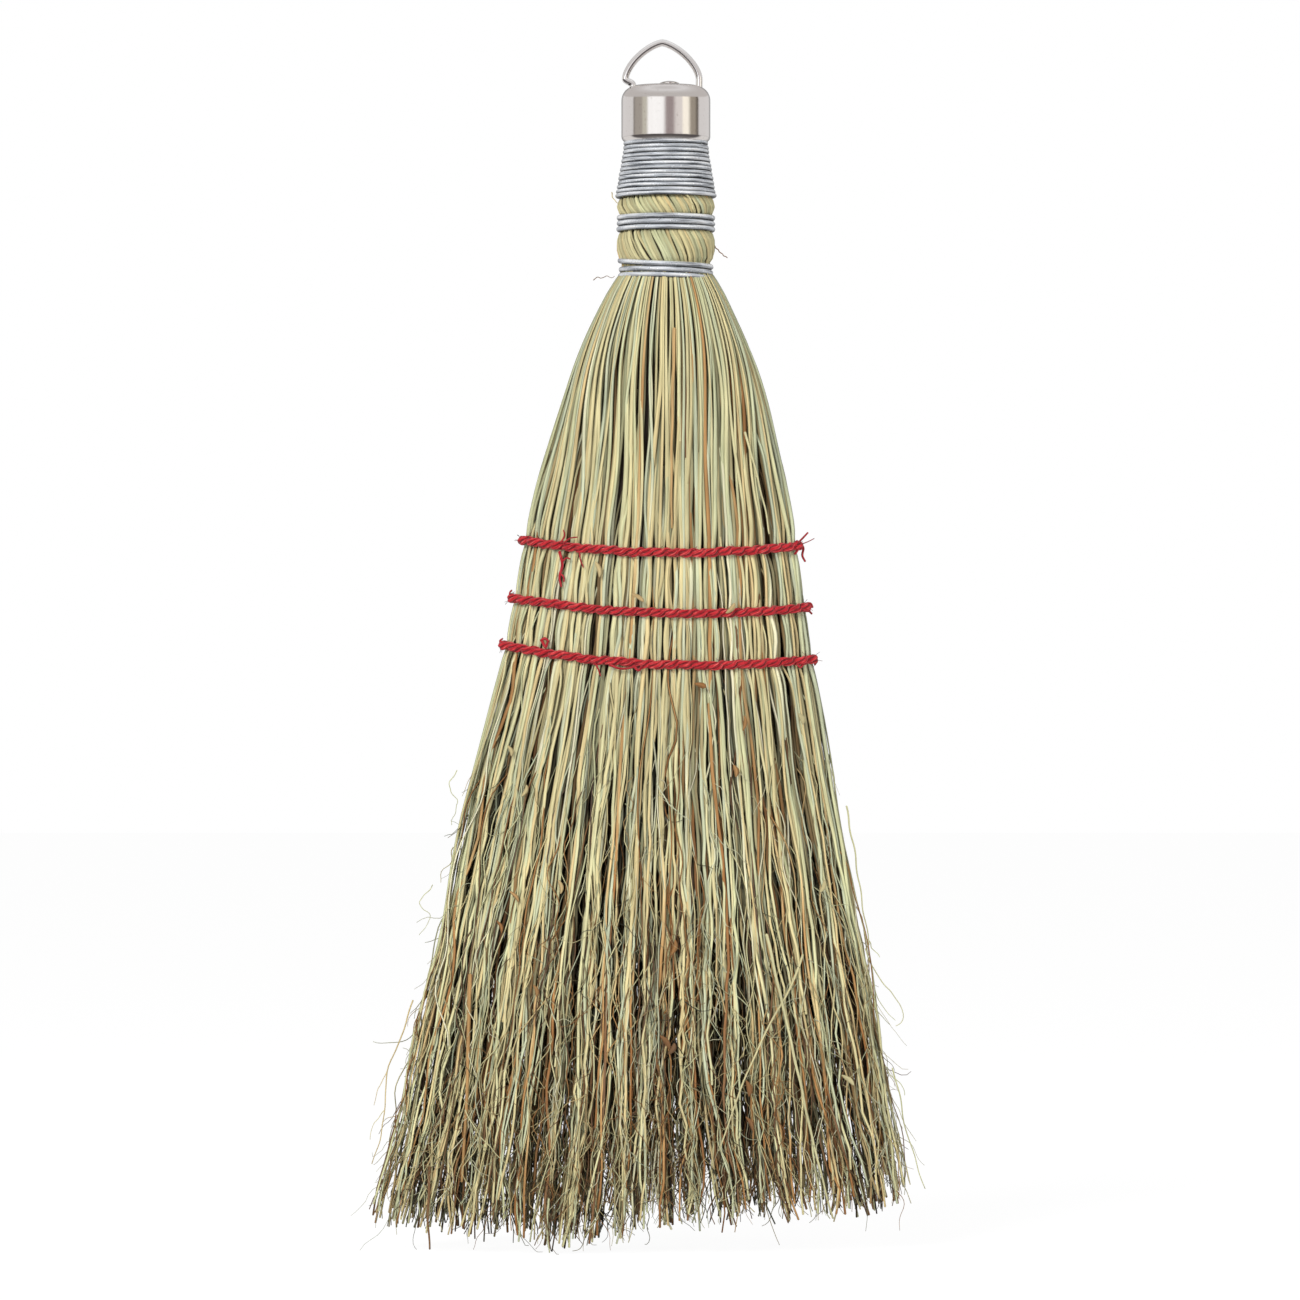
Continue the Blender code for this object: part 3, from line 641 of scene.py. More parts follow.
@dataclass(frozen=True)
class StrawFinish(Finish):
    """Dry straw: each strand has a tone of the palette, streaked along its length."""

    # The darkest colours paint shade on the inner strands and the dark cores; the browns are also real brown
    # straw.
    palette: Stops = (
        (0.00, srgb(92, 79, 73)),
        (0.10, srgb(118, 92, 68)),
        (0.20, srgb(150, 104, 60)),
        (0.28, srgb(182, 142, 92)),
        (0.36, srgb(206, 182, 132)),
        (0.46, srgb(204, 192, 144)),
        (0.58, srgb(210, 202, 156)),
        (0.70, srgb(198, 199, 156)),
        (0.82, srgb(186, 193, 164)),
        (0.92, srgb(218, 214, 178)),
        (1.00, srgb(232, 227, 196)),
    )
    streak_scale: float = 1.1
    streak_length: float = 90.0
    streak_detail: int = 3
    streak_levels: Span = (0.3, 0.7, 0.70, 1.14)
    rib_strength: float = 0.5
    rib_depth: float = 0.0002

    def material(self) -> Material:
        """The finish's levels and its graph.

        Returns:
            The material.
        """
        made, graph, inputs = self.started()
        grain = graph.stretched(graph.attribute(GRAIN, "Vector"), (1, 1, self.streak_length))
        streaks = graph.noise(grain, self.streak_scale, self.streak_detail)
        level = graph.mapped(streaks, self.streak_levels)
        # The streaks are the straw's own; the shade attribute multiplies in painted shade and light.
        level = graph.math("MULTIPLY", level, graph.attribute(SHADE))
        colour = graph.ramp(graph.attribute(TONE), self.palette)
        graph.put(inputs["Base Color"], graph.scaled(colour, level))
        graph.put(inputs["Normal"], graph.bumped(streaks, self.rib_strength, self.rib_depth))
        return made


@dataclass(frozen=True)
class WireFinish(Finish):
    """Galvanised wire: blue-grey, with painted highlights and dim stretches streaked along it, and a few
    dull specks.
    """

    # The palest colours are painted glints.
    zinc: Stops = (
        (0.0, srgb(118, 121, 127)),
        (0.3, srgb(186, 191, 198)),
        (0.6, srgb(224, 229, 235)),
        (1.0, srgb(253, 254, 255)),
    )
    streak_scale: float = 1.0
    streak_length: float = 130.0
    streak_detail: int = 3
    streak_levels: Span = (0.32, 0.68, 0.0, 1.0)
    speck_scale: float = 700.0
    speck_detail: int = 4
    speck_levels: Span = (0.22, 0.36, 0.2, 1.0)
    speck_span: Range = (0.3, 0.7)
    speck_roughness: float = 0.1
    speck_strength: float = 0.08
    speck_depth: float = 0.0001

    def material(self) -> Material:
        """The finish's levels and its graph.

        Returns:
            The material.
        """
        made, graph, inputs = self.started()
        grain = graph.stretched(graph.attribute(GRAIN, "Vector"), (1, 1, self.streak_length))
        # Painted highlight: streaks along the wire stand in for the glints and dim stretches that its waves
        # catch.
        streaks = graph.noise(grain, self.streak_scale, self.streak_detail)
        place = graph.add("ShaderNodeTexCoord").outputs["Object"]
        specks = graph.noise(place, self.speck_scale, self.speck_detail)
        level = graph.math("MULTIPLY", graph.mapped(streaks, self.streak_levels),
                           graph.mapped(specks, self.speck_levels))
        colour = graph.ramp(level, self.zinc)
        # The shade attribute adds painted shade between the turns and a painted highlight on top of each.
        graph.put(inputs["Base Color"], graph.scaled(colour, graph.attribute(SHADE)))
        duller = (*self.speck_span, self.roughness + self.speck_roughness, self.roughness)
        graph.put(inputs["Roughness"], graph.mapped(specks, duller))
        graph.put(inputs["Normal"], graph.bumped(specks, self.speck_strength, self.speck_depth))
        return made


@dataclass(frozen=True)
class NickelFinish(Finish):
    """Nickel plate: bright, with faint drawn lines and specks in the plating."""

    # The ring's tone picks the brighter end of the plate, the cap's and nail's the darker: painted light on
    # the ring.
    plate: Stops = ((0.55, srgb(231, 226, 223)), (0.95, srgb(252, 250, 249)))
    dull: Colour = (0.75, 0.72, 0.70)
    speck_scale: float = 1500.0
    speck_detail: int = 5
    speck_levels: Span = (0.24, 0.36, 0.0, 1.0)
    speck_strength: float = 0.05
    speck_depth: float = 0.0001
    line_scale: float = 900.0
    line_detail: int = 3
    line_stretch: Colour = (1.0, 1.0, 0.08)
    line_span: Range = (0.3, 0.7)
    line_roughness: float = 0.07

    def material(self) -> Material:
        """The finish's levels and its graph.

        Returns:
            The material.
        """
        made, graph, inputs = self.started()
        place = graph.add("ShaderNodeTexCoord").outputs["Object"]
        specks = graph.noise(place, self.speck_scale, self.speck_detail)
        drawn = graph.stretched(place, self.line_stretch)
        lines = graph.noise(drawn, self.line_scale, self.line_detail)
        # Painted light: the tone lifts the ring's plate colour above the cap's and the nail's.
        bright = graph.ramp(graph.attribute(TONE), self.plate)
        dull = graph.blended(graph.mapped(specks, self.speck_levels), (*self.dull, 1), (1, 1, 1, 1))
        coloured = graph.add("ShaderNodeVectorMath")
        coloured.operation = "MULTIPLY"
        graph.put(coloured.inputs[0], bright)
        graph.put(coloured.inputs[1], dull)
        graph.put(inputs["Base Color"], coloured.outputs["Vector"])
        duller = (*self.line_span, self.roughness + self.line_roughness, self.roughness)
        graph.put(inputs["Roughness"], graph.mapped(lines, duller))
        graph.put(inputs["Normal"], graph.bumped(specks, self.speck_strength, self.speck_depth))
        return made


@dataclass(frozen=True)
class TwineFinish(Finish):
    """Red twisted twine: fine yarns run slantwise, with paler colours on top that are partly paler fibres
    and partly painted highlights.
    """

    # The reds are the dye; the palest colours are partly paler fibres and partly painted highlights.
    dyes: Stops = (
        (0.0, srgb(98, 12, 22)),
        (0.3, srgb(176, 26, 38)),
        (0.65, srgb(206, 48, 56)),
        (0.85, srgb(226, 110, 104)),
        (1.0, srgb(238, 176, 166)),
    )
    yarn_scale: float = 2.6
    yarn_detail: int = 4
    yarn_length: float = 200.0
    yarn_levels: Span = (0.3, 0.75, 0.0, 1.0)
    yarn_strength: float = 0.9
    yarn_depth: float = 0.0004
    sheen: float = 0.15
    sheen_roughness: float = 0.5

    def material(self) -> Material:
        """The finish's levels and its graph.

        Returns:
            The material.
        """
        made, graph, inputs = self.started()
        inputs["Sheen Weight"].default_value = self.sheen
        inputs["Sheen Roughness"].default_value = self.sheen_roughness
        grain = graph.stretched(graph.attribute(GRAIN, "Vector"), (1, 1, self.yarn_length))
        yarns = graph.noise(grain, self.yarn_scale, self.yarn_detail)
        colour = graph.ramp(graph.mapped(yarns, self.yarn_levels), self.dyes)
        # The shade attribute adds painted shade on the plies' flanks.
        graph.put(inputs["Base Color"], graph.scaled(colour, graph.attribute(SHADE)))
        graph.put(inputs["Normal"], graph.bumped(yarns, self.yarn_strength, self.yarn_depth))
        return made


# Straw head

@dataclass
class HeadShape:
    """The outline that the straw keeps to, from the wire down to its ends."""

    top: float = 0.2470
    rows: tuple[Table, Table, Table] = (
        ((-0.0323, 0.1790), (0.0048, 0.1757), (0.0393, 0.1777)),
        ((-0.0340, 0.1644), (0.0033, 0.1606), (0.0411, 0.1621)),
        ((-0.0363, 0.1524), (0.0033, 0.1477), (0.0424, 0.1491)),
    )
    sewn_foot: float = 0.1478
    widths: Table = (
        (0.0, 0.0700), (0.0126, 0.0680), (0.0378, 0.0626), (0.0630, 0.0578), (0.0882, 0.0527),
        (0.1134, 0.0475), (0.1387, 0.0420), (0.1487, 0.0398), (0.1639, 0.0373), (0.1840, 0.0340),
        (0.1941, 0.0319), (0.2042, 0.0292), (0.2143, 0.0262), (0.2244, 0.0228), (0.2344, 0.0185),
        (0.2435, 0.0137), (0.2470, 0.0113),
    )
    depths: Table = (
        (0.0, 0.0136), (0.05, 0.0128), (0.10, 0.0113), (0.1487, 0.0100), (0.1840, 0.0110),
        (0.2143, 0.0122), (0.2344, 0.0128), (0.2435, 0.0122), (0.2470, 0.0113),
    )
    middles: Table = (
        (0.0, -0.0008), (0.0378, -0.0006), (0.0630, 0.0002), (0.1134, 0.0010), (0.1487, 0.0025),
        (0.1840, 0.0035), (0.2143, 0.0043), (0.2344, 0.0046), (0.2470, 0.0048),
    )
    pinch_depth: float = 0.0011
    side_pinch: float = 0.35
    pinch_reach: float = 0.0028
    tufts: int = 46
    tuft_depth: float = 0.0005
    gather: float = 0.30
    gather_reach: float = 0.0045
    spread: Ramp = Ramp(0.2450, -0.0550)
    rim_half_width: float = 0.0398
    rim_half_depth: float = 0.0100
    rim_steps: int = 1441
    sewn_middle: float = 0.160
    sewn_reach: float = 0.026

    def __post_init__(self) -> None:
        """Works out the angle at each even share of the sewn oval's rim, and each row's parabola."""
        angle = np.linspace(0, 2 * math.pi, self.rim_steps)
        x, y = self.rim_half_width * np.cos(angle), self.rim_half_depth * np.sin(angle)
        run = np.concatenate([[0], np.cumsum(np.hypot(np.diff(x), np.diff(y)))])
        self.rim_shares = run / run[-1]
        self.rim_angles = angle
        self.bends = [np.polyfit(*np.array(row).T, 2) for row in self.rows]

    def angle(self, share: Array, z: Array) -> Array:
        """The angle round the head: even on the round neck, and even along the rim where it is flat.

        Args:
            share: How far round the head, from 0 to 1.
            z: The height.

        Returns:
            The angle in radians.
        """
        turns = np.floor(share)
        flat = np.interp(share - turns, self.rim_shares, self.rim_angles) + 2 * math.pi * turns
        spread = self.spread.at(z)
        return 2 * math.pi * share * (1 - spread) + flat * spread

    def row_height(self, row: int, x: Array) -> Array:
        """The height of a row of twine, a parabola through its left, middle and right."""
        return np.polyval(self.bends[row], x)

    def near_rows(self, x: Array, z: Array, reach: float) -> Array:
        """1 at a row of twine, falling with the square of the distance from it."""
        return sum(np.exp(-(((z - self.row_height(row, x)) / reach) ** 2)) for row in range(3))

    def tuft_middle(self, share: Array) -> Array:
        """The middle of the tuft that a share of the rim is in."""
        return (np.floor(share * self.tufts) + 0.5) / self.tufts

    def placed(self, share: Array, depth: Array, z: Array, inset: Array) -> tuple[Array, Array, Array]:
        """Points of the head.

        A point lies at the middle plus the half width and half depth, times the depth share and
        the cosine and sine of the angle, less the inset and the pinch of the sewing. The pinch is
        deepest at each row, and tufts stand out between stitches by the sine of the share.

        Args:
            share: How far round the head, from 0 to 1, starting at its right edge.
            depth: How far out from the middle, 1 at the outside.
            z: The height.
            inset: What to stay inside the outline by, such as a strand's own radius.

        Returns:
            The points, the way out of the head there, and the way round it.
        """
        angle = self.angle(share, z)
        cos, sin = np.cos(angle), np.sin(angle)
        wide, deep = smooth_table(self.widths, z), smooth_table(self.depths, z)
        x = smooth_table(self.middles, z) + wide * depth * cos
        near = self.near_rows(x, z, self.pinch_reach)
        sewn = np.exp(-(((z - self.sewn_middle) / self.sewn_reach) ** 2))
        tuft = np.abs(np.sin(math.pi * self.tufts * share))
        pull = (self.pinch_depth * near - self.tuft_depth * sewn * (tuft - 0.5)) * depth
        x = x - (inset + self.side_pinch * pull) * cos
        y = (deep * depth - inset - pull) * sin
        flat = np.zeros_like(cos)
        out = unit(np.stack([cos / wide, sin / deep, flat], -1))
        round_head = np.stack([-out[..., 1], out[..., 0], flat], -1)
        return np.stack([x, y, z + flat], -1), out, round_head

    def front(self, x: Array, z: Array, proud: float) -> Array:
        """Points on the front of the head.

        Args:
            x: How far to the right.
            z: The height.
            proud: How far in front of the straw.

        Returns:
            The points, whose depth falls off as on an ellipse.
        """
        share = (x - smooth_table(self.middles, z)) / smooth_table(self.widths, z)
        y = -smooth_table(self.depths, z) * np.sqrt(np.maximum(1 - share**2, 0))
        return np.stack([x, y - proud, z], -1)


@dataclass
class StrandKind:
    """How one kind of strand grows. Drift and slant are shares of the rim."""

    part: str
    count: int
    steps: int
    sides: int
    start: Range
    radius: Range
    end_radius: float
    depth: Range
    tone: Range
    brown: float
    drift: float
    slant: float
    wander: float
    crinkle: float
    short: float
    thickness: float = 1.0


@dataclass
class ShootKind:
    """How side shoots leave one kind of strand, by its place in the list of kinds."""

    parent: int
    count: int
    spread: float
    reach: Range
    place: Range = (0.30, 0.99)
    browner: float = -0.14
    place_power: float = 0.7
    steps: int = 12
    sides: int = 3
    proud: Range = (0.1, 0.3)
    curl: float = 0.5
    kink: Wander = Wander(0.45, (0.004, 0.012))
    lowest: float = 0.0003
    radius: Range = (0.00009, 0.00017)
    end_share: float = 0.5
    tone_scatter: float = 0.14
    tones: Range = (0.08, 0.96)
    # Painted light: a shoot's shade is its parent's lifted by this share.
    lighter: float = 1.25
    edge_shade: float = 0.4


@dataclass
class StrawHead:
    """All the straw below the neck: stalks, fibres and side shoots.

    Lengths are metres, and depths and shares run from 0 to 1. A tone picks a colour of the finish's
    palette, and a painted shade darkens it.
    """

    shape: HeadShape
    seed: int = 41
    shoulder_share: float = 0.62
    core_depth: float = 0.62
    trim: Table = (
        (-0.072, 0.0085), (-0.055, 0.0055), (-0.040, 0.0040), (-0.025, 0.0022), (-0.010, 0.0030),
        (0.004, 0.0050), (0.012, 0.0068), (0.023, 0.0085), (0.040, 0.0095), (0.058, 0.0100),
        (0.072, 0.0150),
    )
    trim_scatter: float = 0.0040
    tuft_scatter: float = 0.0022
    clump: float = 0.92
    tuft_sway: float = 0.0014
    gap_rise: Range = (0.003, 0.014)
    inner_depth: float = 0.85
    cell_span: Range = (0.05, 0.95)
    lowest: float = 0.0004
    highest_foot_share: float = 0.9
    short_drop: float = 0.06
    bend_heights: Range = (0.187, 0.139)
    bend_shares: Range = (0.30, 0.64)
    short_bend_share: float = 0.42
    own_sway_lengths: Range = (0.05, 0.16)
    own_sway_phase: float = 6.3
    own_sway_size: float = 0.6
    pull_span: Range = (0.45, 1.0)
    gather_power: float = 1.8
    slant_wave: Wander = Wander(1.0, (0.03, 0.09))
    slant_ramp: Ramp = Ramp(0.0, 0.03)
    slant_less: Range = (0.5, 0.75)
    drift_ramp: Ramp = Ramp(0.0, 0.075)
    thinner: float = 0.40
    thin_ramp: Ramp = Ramp(0.195, 0.050)
    buried_top: float = 0.24
    buried_radius: float = 0.12
    buried_depth: float = 0.74
    radius_ramp: Ramp = Ramp(0.0, 0.020)
    depth_ramp: Ramp = Ramp(0.0, 0.024)
    sway_wave: Wander = Wander(0.0016, (0.045, 0.13))
    sway_floor: float = 0.05
    sway_power: float = 1.2
    tuft_sway_power: float = 1.5
    crinkle_wave: Wander = Wander(0.00042, (0.009, 0.028), 3)
    crinkle_power: float = 0.7
    lift_wave: Wander = Wander(0.0006, (0.04, 0.10))
    fine_lift_wave: Wander = Wander(0.00020, (0.007, 0.022))
    sewn_lift_wave: Wander = Wander(0.00022, (0.03, 0.08))
    sewn_lift_ramp: Ramp = Ramp(0.0, 0.02)
    sewn_lift_less: float = 0.8
    brown_tones: Range = (0.08, 0.36)
    tone_wave: Wander = Wander(0.05, (0.03, 0.12))
    golden: Range = (0.16, 0.30)
    browned: float = 0.38
    browned_ramp: Ramp = Ramp(0.35, 0.40)
    browned_power: float = 1.4
    least_tone: float = 0.14
    # These ramps and shades paint shade by depth and height, and light on the ends.
    sewn_ramp: Ramp = Ramp(0.141, 0.008)
    between_ramp: Ramp = Ramp(0.182, -0.010)
    upper_ramp: Ramp = Ramp(0.180, 0.030)
    outer_ramp: Ramp = Ramp(0.90, 0.095)
    behind_shades: Colour = (0.07, 0.15, 0.06)
    inner_shades: Range = (0.30, 0.10)
    outer_shades: Range = (1.03, 0.09)
    foot_lighter: Range = (3.4, 1.8)
    most_shade: float = 1.22
    heart_fill: Table = ((0.112, 0.35), (0.150, 0.76), (0.225, 0.78), (0.2465, 0.84))
    heart_grid: tuple[int, int] = (30, 96)
    kinds: tuple[StrandKind, ...] = (
        StrandKind("stalks", 136, 66, 8, (0.2470, 0.2470), (0.00034, 0.00068), 0.00028, (0.960, 1.0),
                   (0.40, 0.86), 0.06, 0.0062, 0.0032, 0.7, 1.2, 0.25, 0.85),
        StrandKind("stalks", 136, 62, 8, (0.2470, 0.2470), (0.00042, 0.00072), 0.00028, (0.91, 0.960),
                   (0.28, 0.72), 0.08, 0.0085, 0.0034, 0.7, 1.3, 0.3, 0.85),
        StrandKind("stalks", 110, 44, 4, (0.2465, 0.2465), (0.00036, 0.00055), 0.00024, (0.80, 0.90),
                   (0.10, 0.60), 0.3, 0.0080, 0.0030, 0.5, 0.8, 0.3),
        StrandKind("stalks", 150, 54, 5, (0.190, 0.226), (0.00034, 0.00060), 0.00026, (0.90, 0.99),
                   (0.40, 0.96), 0.08, 0.0070, 0.0040, 0.8, 1.1, 0.3, 0.8),
        StrandKind("splits", 290, 48, 4, (0.150, 0.190), (0.00020, 0.00042), 0.00018, (0.86, 1.01),
                   (0.40, 1.0), 0.15, 0.0060, 0.0065, 1.2, 1.8, 0.4, 0.7),
        # These inner splits, and the last kind of fibres, take dark tones: painted shade deep in the head.
        StrandKind("splits", 380, 26, 4, (0.120, 0.160), (0.00034, 0.00056), 0.00022, (0.25, 0.80),
                   (0.00, 0.14), 0.1, 0.0060, 0.0050, 0.8, 0.9, 0.3),
        StrandKind("fibres", 400, 48, 3, (0.080, 0.145), (0.00016, 0.00032), 0.00013, (0.86, 1.03),
                   (0.40, 1.0), 0.20, 0.0065, 0.0070, 1.6, 3.0, 0.4),
        StrandKind("fibres", 700, 26, 3, (0.060, 0.130), (0.00020, 0.00040), 0.00016, (0.30, 0.84),
                   (0.02, 0.24), 0.1, 0.0060, 0.0060, 1.2, 1.8, 0.35),
    )
    shoot_kinds: tuple[ShootKind, ...] = (
        ShootKind(0, 260, 0.10, (0.010, 0.024), (0.57, 0.99)),
        ShootKind(1, 200, 0.10, (0.010, 0.022), (0.57, 0.99)),
        ShootKind(2, 40, 0.12, (0.008, 0.016), (0.57, 0.99)),
        ShootKind(3, 300, 0.14, (0.008, 0.020), (0.57, 0.99)),
        ShootKind(4, 700, 0.24, (0.005, 0.014), (0.37, 0.99)),
        ShootKind(5, 90, 0.20, (0.005, 0.012)),
        ShootKind(6, 1300, 0.34, (0.003, 0.012)),
        ShootKind(7, 450, 0.30, (0.003, 0.010)),
        ShootKind(0, 220, 0.16, (0.006, 0.016), (0.86, 0.96), 0.16),
        ShootKind(1, 160, 0.16, (0.006, 0.016), (0.86, 0.96), 0.20),
        ShootKind(3, 240, 0.18, (0.006, 0.016), (0.84, 0.96), 0.20),
        ShootKind(4, 420, 0.20, (0.005, 0.014), (0.82, 0.97), 0.22),
        ShootKind(6, 420, 0.24, (0.004, 0.012), (0.80, 0.97), 0.22),
        ShootKind(7, 320, 0.26, (0.004, 0.012), (0.84, 0.97), -0.10),
    )

    def heights(self, kind: StrandKind, start: Array, foot: Array) -> Array:
        """The heights down each strand, closer together where the rows of twine bend it.

        Args:
            kind: How it grows.
            start: The height of its start.
            foot: The height of its end.

        Returns:
            The heights, one row a strand.
        """
        above, below = self.bend_heights
        if kind.start[0] > above:
            knots = ((0.0, start), (self.bend_shares[0], above), (self.bend_shares[1], below), (1.0, foot))
        elif kind.start[0] > below:
            knots = ((0.0, start), (self.short_bend_share, below), (1.0, foot))
        else:
            knots = ((0.0, start), (1.0, foot))
        t = np.linspace(0, 1, kind.steps)[None]
        z = start[:, None] + 0 * t
        for (t0, z0), (t1, z1) in zip(knots, knots[1:]):
            fall = np.broadcast_to(np.asarray(z1) - z0, start.shape)
            z = z + fall[:, None] * np.clip((t - t0) / (t1 - t0), 0, 1)
        return z

    def feet(self, base: Array, depth: Array, kind: StrandKind, draw: Random) -> Array:
        """How low each strand reaches.

        Args:
            base: How far round the head it starts.
            depth: How far out from the middle it lies.
            kind: How it grows.
            draw: The random draws.

        Returns:
            The height of the trim under it, raised by its tuft, its own scatter and chance.
        """
        shape, count = self.shape, kind.count
        zero = np.zeros(count)
        x = smooth_table(shape.middles, zero) + smooth_table(shape.widths, zero) * depth * np.cos(
            shape.angle(base, zero))
        tuft = np.floor(base * shape.tufts).astype(int)
        raised = np.abs(np.random.default_rng(self.seed).normal(0, self.tuft_scatter, shape.tufts + 1))
        foot = straight_table(self.trim, x) - 0.5 * self.trim_scatter + raised[tuft]
        foot = foot + np.abs(draw.normal(0, self.trim_scatter, count))
        foot = foot + (depth < self.inner_depth) * draw.uniform(*self.gap_rise, count)
        return foot + (draw.uniform(0, 1, count) < kind.short) * draw.uniform(0, self.short_drop, count)

    def swayed(self, share: Array, z: Array) -> Array:
        """How far each tuft sways to the right: a sum of three sines of the height.

        The tufts of the front and the back that stand behind one another sway as one.

        Args:
            share: Where round the head each strand's tuft is.
            z: The heights, one row a strand.

        Returns:
            The sway at each height, about one unit wide.
        """
        half = np.minimum(share, 1 - share)
        tuft = np.clip(np.floor(half * self.shape.tufts), 0, self.shape.tufts // 2).astype(int)
        own = np.random.default_rng(self.seed + 1)
        rows = (self.shape.tufts, 1, 3)
        length = own.uniform(*self.own_sway_lengths, rows)
        phase = own.uniform(0, self.own_sway_phase, rows)
        size = own.normal(0, self.own_sway_size, rows)
        return (size[tuft] * np.sin(2 * math.pi * z[..., None] / length[tuft] + phase[tuft])).sum(-1)

    def drawn_in(self, home: Array, depth: Array) -> tuple[Array, Array]:
        """Which outer tuft an inner strand's foot lies behind, and how far to its right that tuft is.

        Args:
            home: How far round the head the strand ends, from 0 to 1.
            depth: How far out from the middle it lies.

        Returns:
            The share of the rim right behind which the foot lies, and the way along X to the
            middle of the tuft there.
        """
        shape, foot = self.shape, np.zeros_like(home)
        wide = smooth_table(shape.widths, foot)
        x = wide * depth * np.cos(shape.angle(home, foot))
        front = np.interp(np.arccos(x / wide), shape.rim_angles, shape.rim_shares)
        return front, wide * np.cos(shape.angle(shape.tuft_middle(front), foot)) - x

    def strands(self, kind: StrandKind, draw: Random) -> Strands:
        """Every strand of a kind.

        A strand runs from its start to its end at one share of the rim, plus a drift that grows
        with the run and a slant that waves. At the rows it moves towards the middle of its tuft,
        and again towards its end. A sway and a finer crinkle, growing below the lowest row, move
        it round the head and in and out of it. One that starts below the wire starts thin and
        buried.

        Args:
            kind: How it grows.
            draw: The random draws.

        Returns:
            The strands.
        """
        shape, count = self.shape, kind.count
        base = (np.arange(count) + draw.uniform(*self.cell_span, count)) / count
        depth = draw.uniform(*kind.depth, count)
        start = draw.uniform(*kind.start, count)
        foot = np.clip(self.feet(base, depth, kind, draw), self.lowest, self.highest_foot_share * start)
        z = self.heights(kind, start, foot)
        run = start[:, None] - z
        low = np.clip((shape.sewn_foot - z) / shape.sewn_foot, 0, 1)
        gathered = low**self.gather_power

        drift = draw.normal(0, kind.drift, count)
        home = np.mod(base + drift, 1)
        tuft = shape.tuft_middle(home) - home
        inside = depth < self.inner_depth
        behind_share, aside = self.drawn_in(home, depth)
        straight = shape.placed(base[:, None], depth[:, None], z, 0 * z)[0]
        near = np.minimum(shape.near_rows(straight[..., 0], z, shape.gather_reach), 1)
        slant = kind.slant * self.slant_wave.drawn(draw, run) * self.slant_ramp.at(run)
        slant = slant * (1 - self.slant_less[0] * near) * (1 - self.slant_less[1] * low)
        pull = draw.uniform(*self.pull_span, count) * self.clump
        share = base[:, None] + drift[:, None] * self.drift_ramp.at(run) + slant
        share = share + (shape.gather * tuft)[:, None] * near + (~inside * pull * tuft)[:, None] * gathered

        radius = draw.uniform(*kind.radius, count)[:, None]
        radii = (radius * (1 - low) + kind.end_radius * low) * (1 - self.thinner * self.thin_ramp.at(z))
        sunk = depth[:, None] * np.ones_like(z)
        if kind.start[0] < self.buried_top:
            radii = radii * (self.buried_radius + (1 - self.buried_radius) * self.radius_ramp.at(run))
            sunk = sunk * (self.buried_depth + (1 - self.buried_depth) * self.depth_ramp.at(run))
        points, out, sideways = shape.placed(share, sunk, z, radii)
        sway = kind.wander * self.sway_wave.drawn(draw, run) * (self.sway_floor + low) ** self.sway_power
        tuft_sway = self.tuft_sway * self.swayed(np.where(inside, behind_share, home), z)
        points[..., 0] += (inside * pull * aside)[:, None] * gathered + tuft_sway * low**self.tuft_sway_power
        crinkle = kind.crinkle * self.crinkle_wave.drawn(draw, run) * low**self.crinkle_power
        lift = kind.wander * self.lift_wave.drawn(draw, run) * low
        lift = lift + kind.crinkle * self.fine_lift_wave.drawn(draw, run) * low
        sewn_lift = self.sewn_lift_wave.drawn(draw, run) * self.sewn_lift_ramp.at(run)
        lift = lift + sewn_lift * (1 - self.sewn_lift_less * near)
        points = points + (sway + crinkle)[..., None] * sideways + lift[..., None] * out
        points[..., 2] = np.maximum(points[..., 2], radii)
        tone, shade = self.tones(kind, draw, z, run, depth)
        return Strands(points, radii, out, tone, shade, kind.sides, kind.thickness, flat=True)

    def tones(
        self, kind: StrandKind, draw: Random, z: Array, run: Array, depth: Array,
    ) -> tuple[Array, Array]:
        """The tone and the shade down each strand.

        Towards the ends the inner strands turn golden and some of the outer ones brown. The painted
        shade falls with the depth, less between the rows of twine, and painted light lifts the ends.

        Args:
            kind: How it grows.
            draw: The random draws.
            z: The heights, one row a strand.
            run: The run from each strand's start.
            depth: How far out from the middle each strand lies.

        Returns:
            The tone and the shade, one row a strand.
        """
        low = np.clip((self.shape.sewn_foot - z) / self.shape.sewn_foot, 0, 1)
        tone = draw.uniform(*kind.tone, kind.count)
        chance = draw.uniform(0, 1, kind.count)
        tone = np.where(chance < kind.brown, draw.uniform(*self.brown_tones, kind.count), tone)
        tone = tone[:, None] + self.tone_wave.drawn(draw, run)
        browner = draw.uniform(0, 1, kind.count)[:, None]
        inner = (depth < self.inner_depth)[:, None]
        golden = (self.golden[0] + self.golden[1] * browner) * low
        browned = self.browned * self.browned_ramp.at(browner) * low**self.browned_power
        tone = np.clip(tone + np.where(inner, golden, -browned), self.least_tone * low, 1)

        # Painted shade: darker the deeper a strand lies, lighter between the rows and towards the ends.
        sewn, outer = self.sewn_ramp.at(z), self.outer_ramp.at(depth[:, None])
        lowest, at_rows, above = self.behind_shades
        behind = lowest + at_rows * sewn + above * self.upper_ramp.at(z)
        front = self.outer_shades[0] + self.outer_shades[1] * sewn * self.between_ramp.at(z)
        shade = np.where(
            inner, self.inner_shades[0] + self.inner_shades[1] * sewn, behind + (front - behind) * outer)
        return tone, np.minimum(shade * (1 + low**2 * np.where(inner, *self.foot_lighter)), self.most_shade)

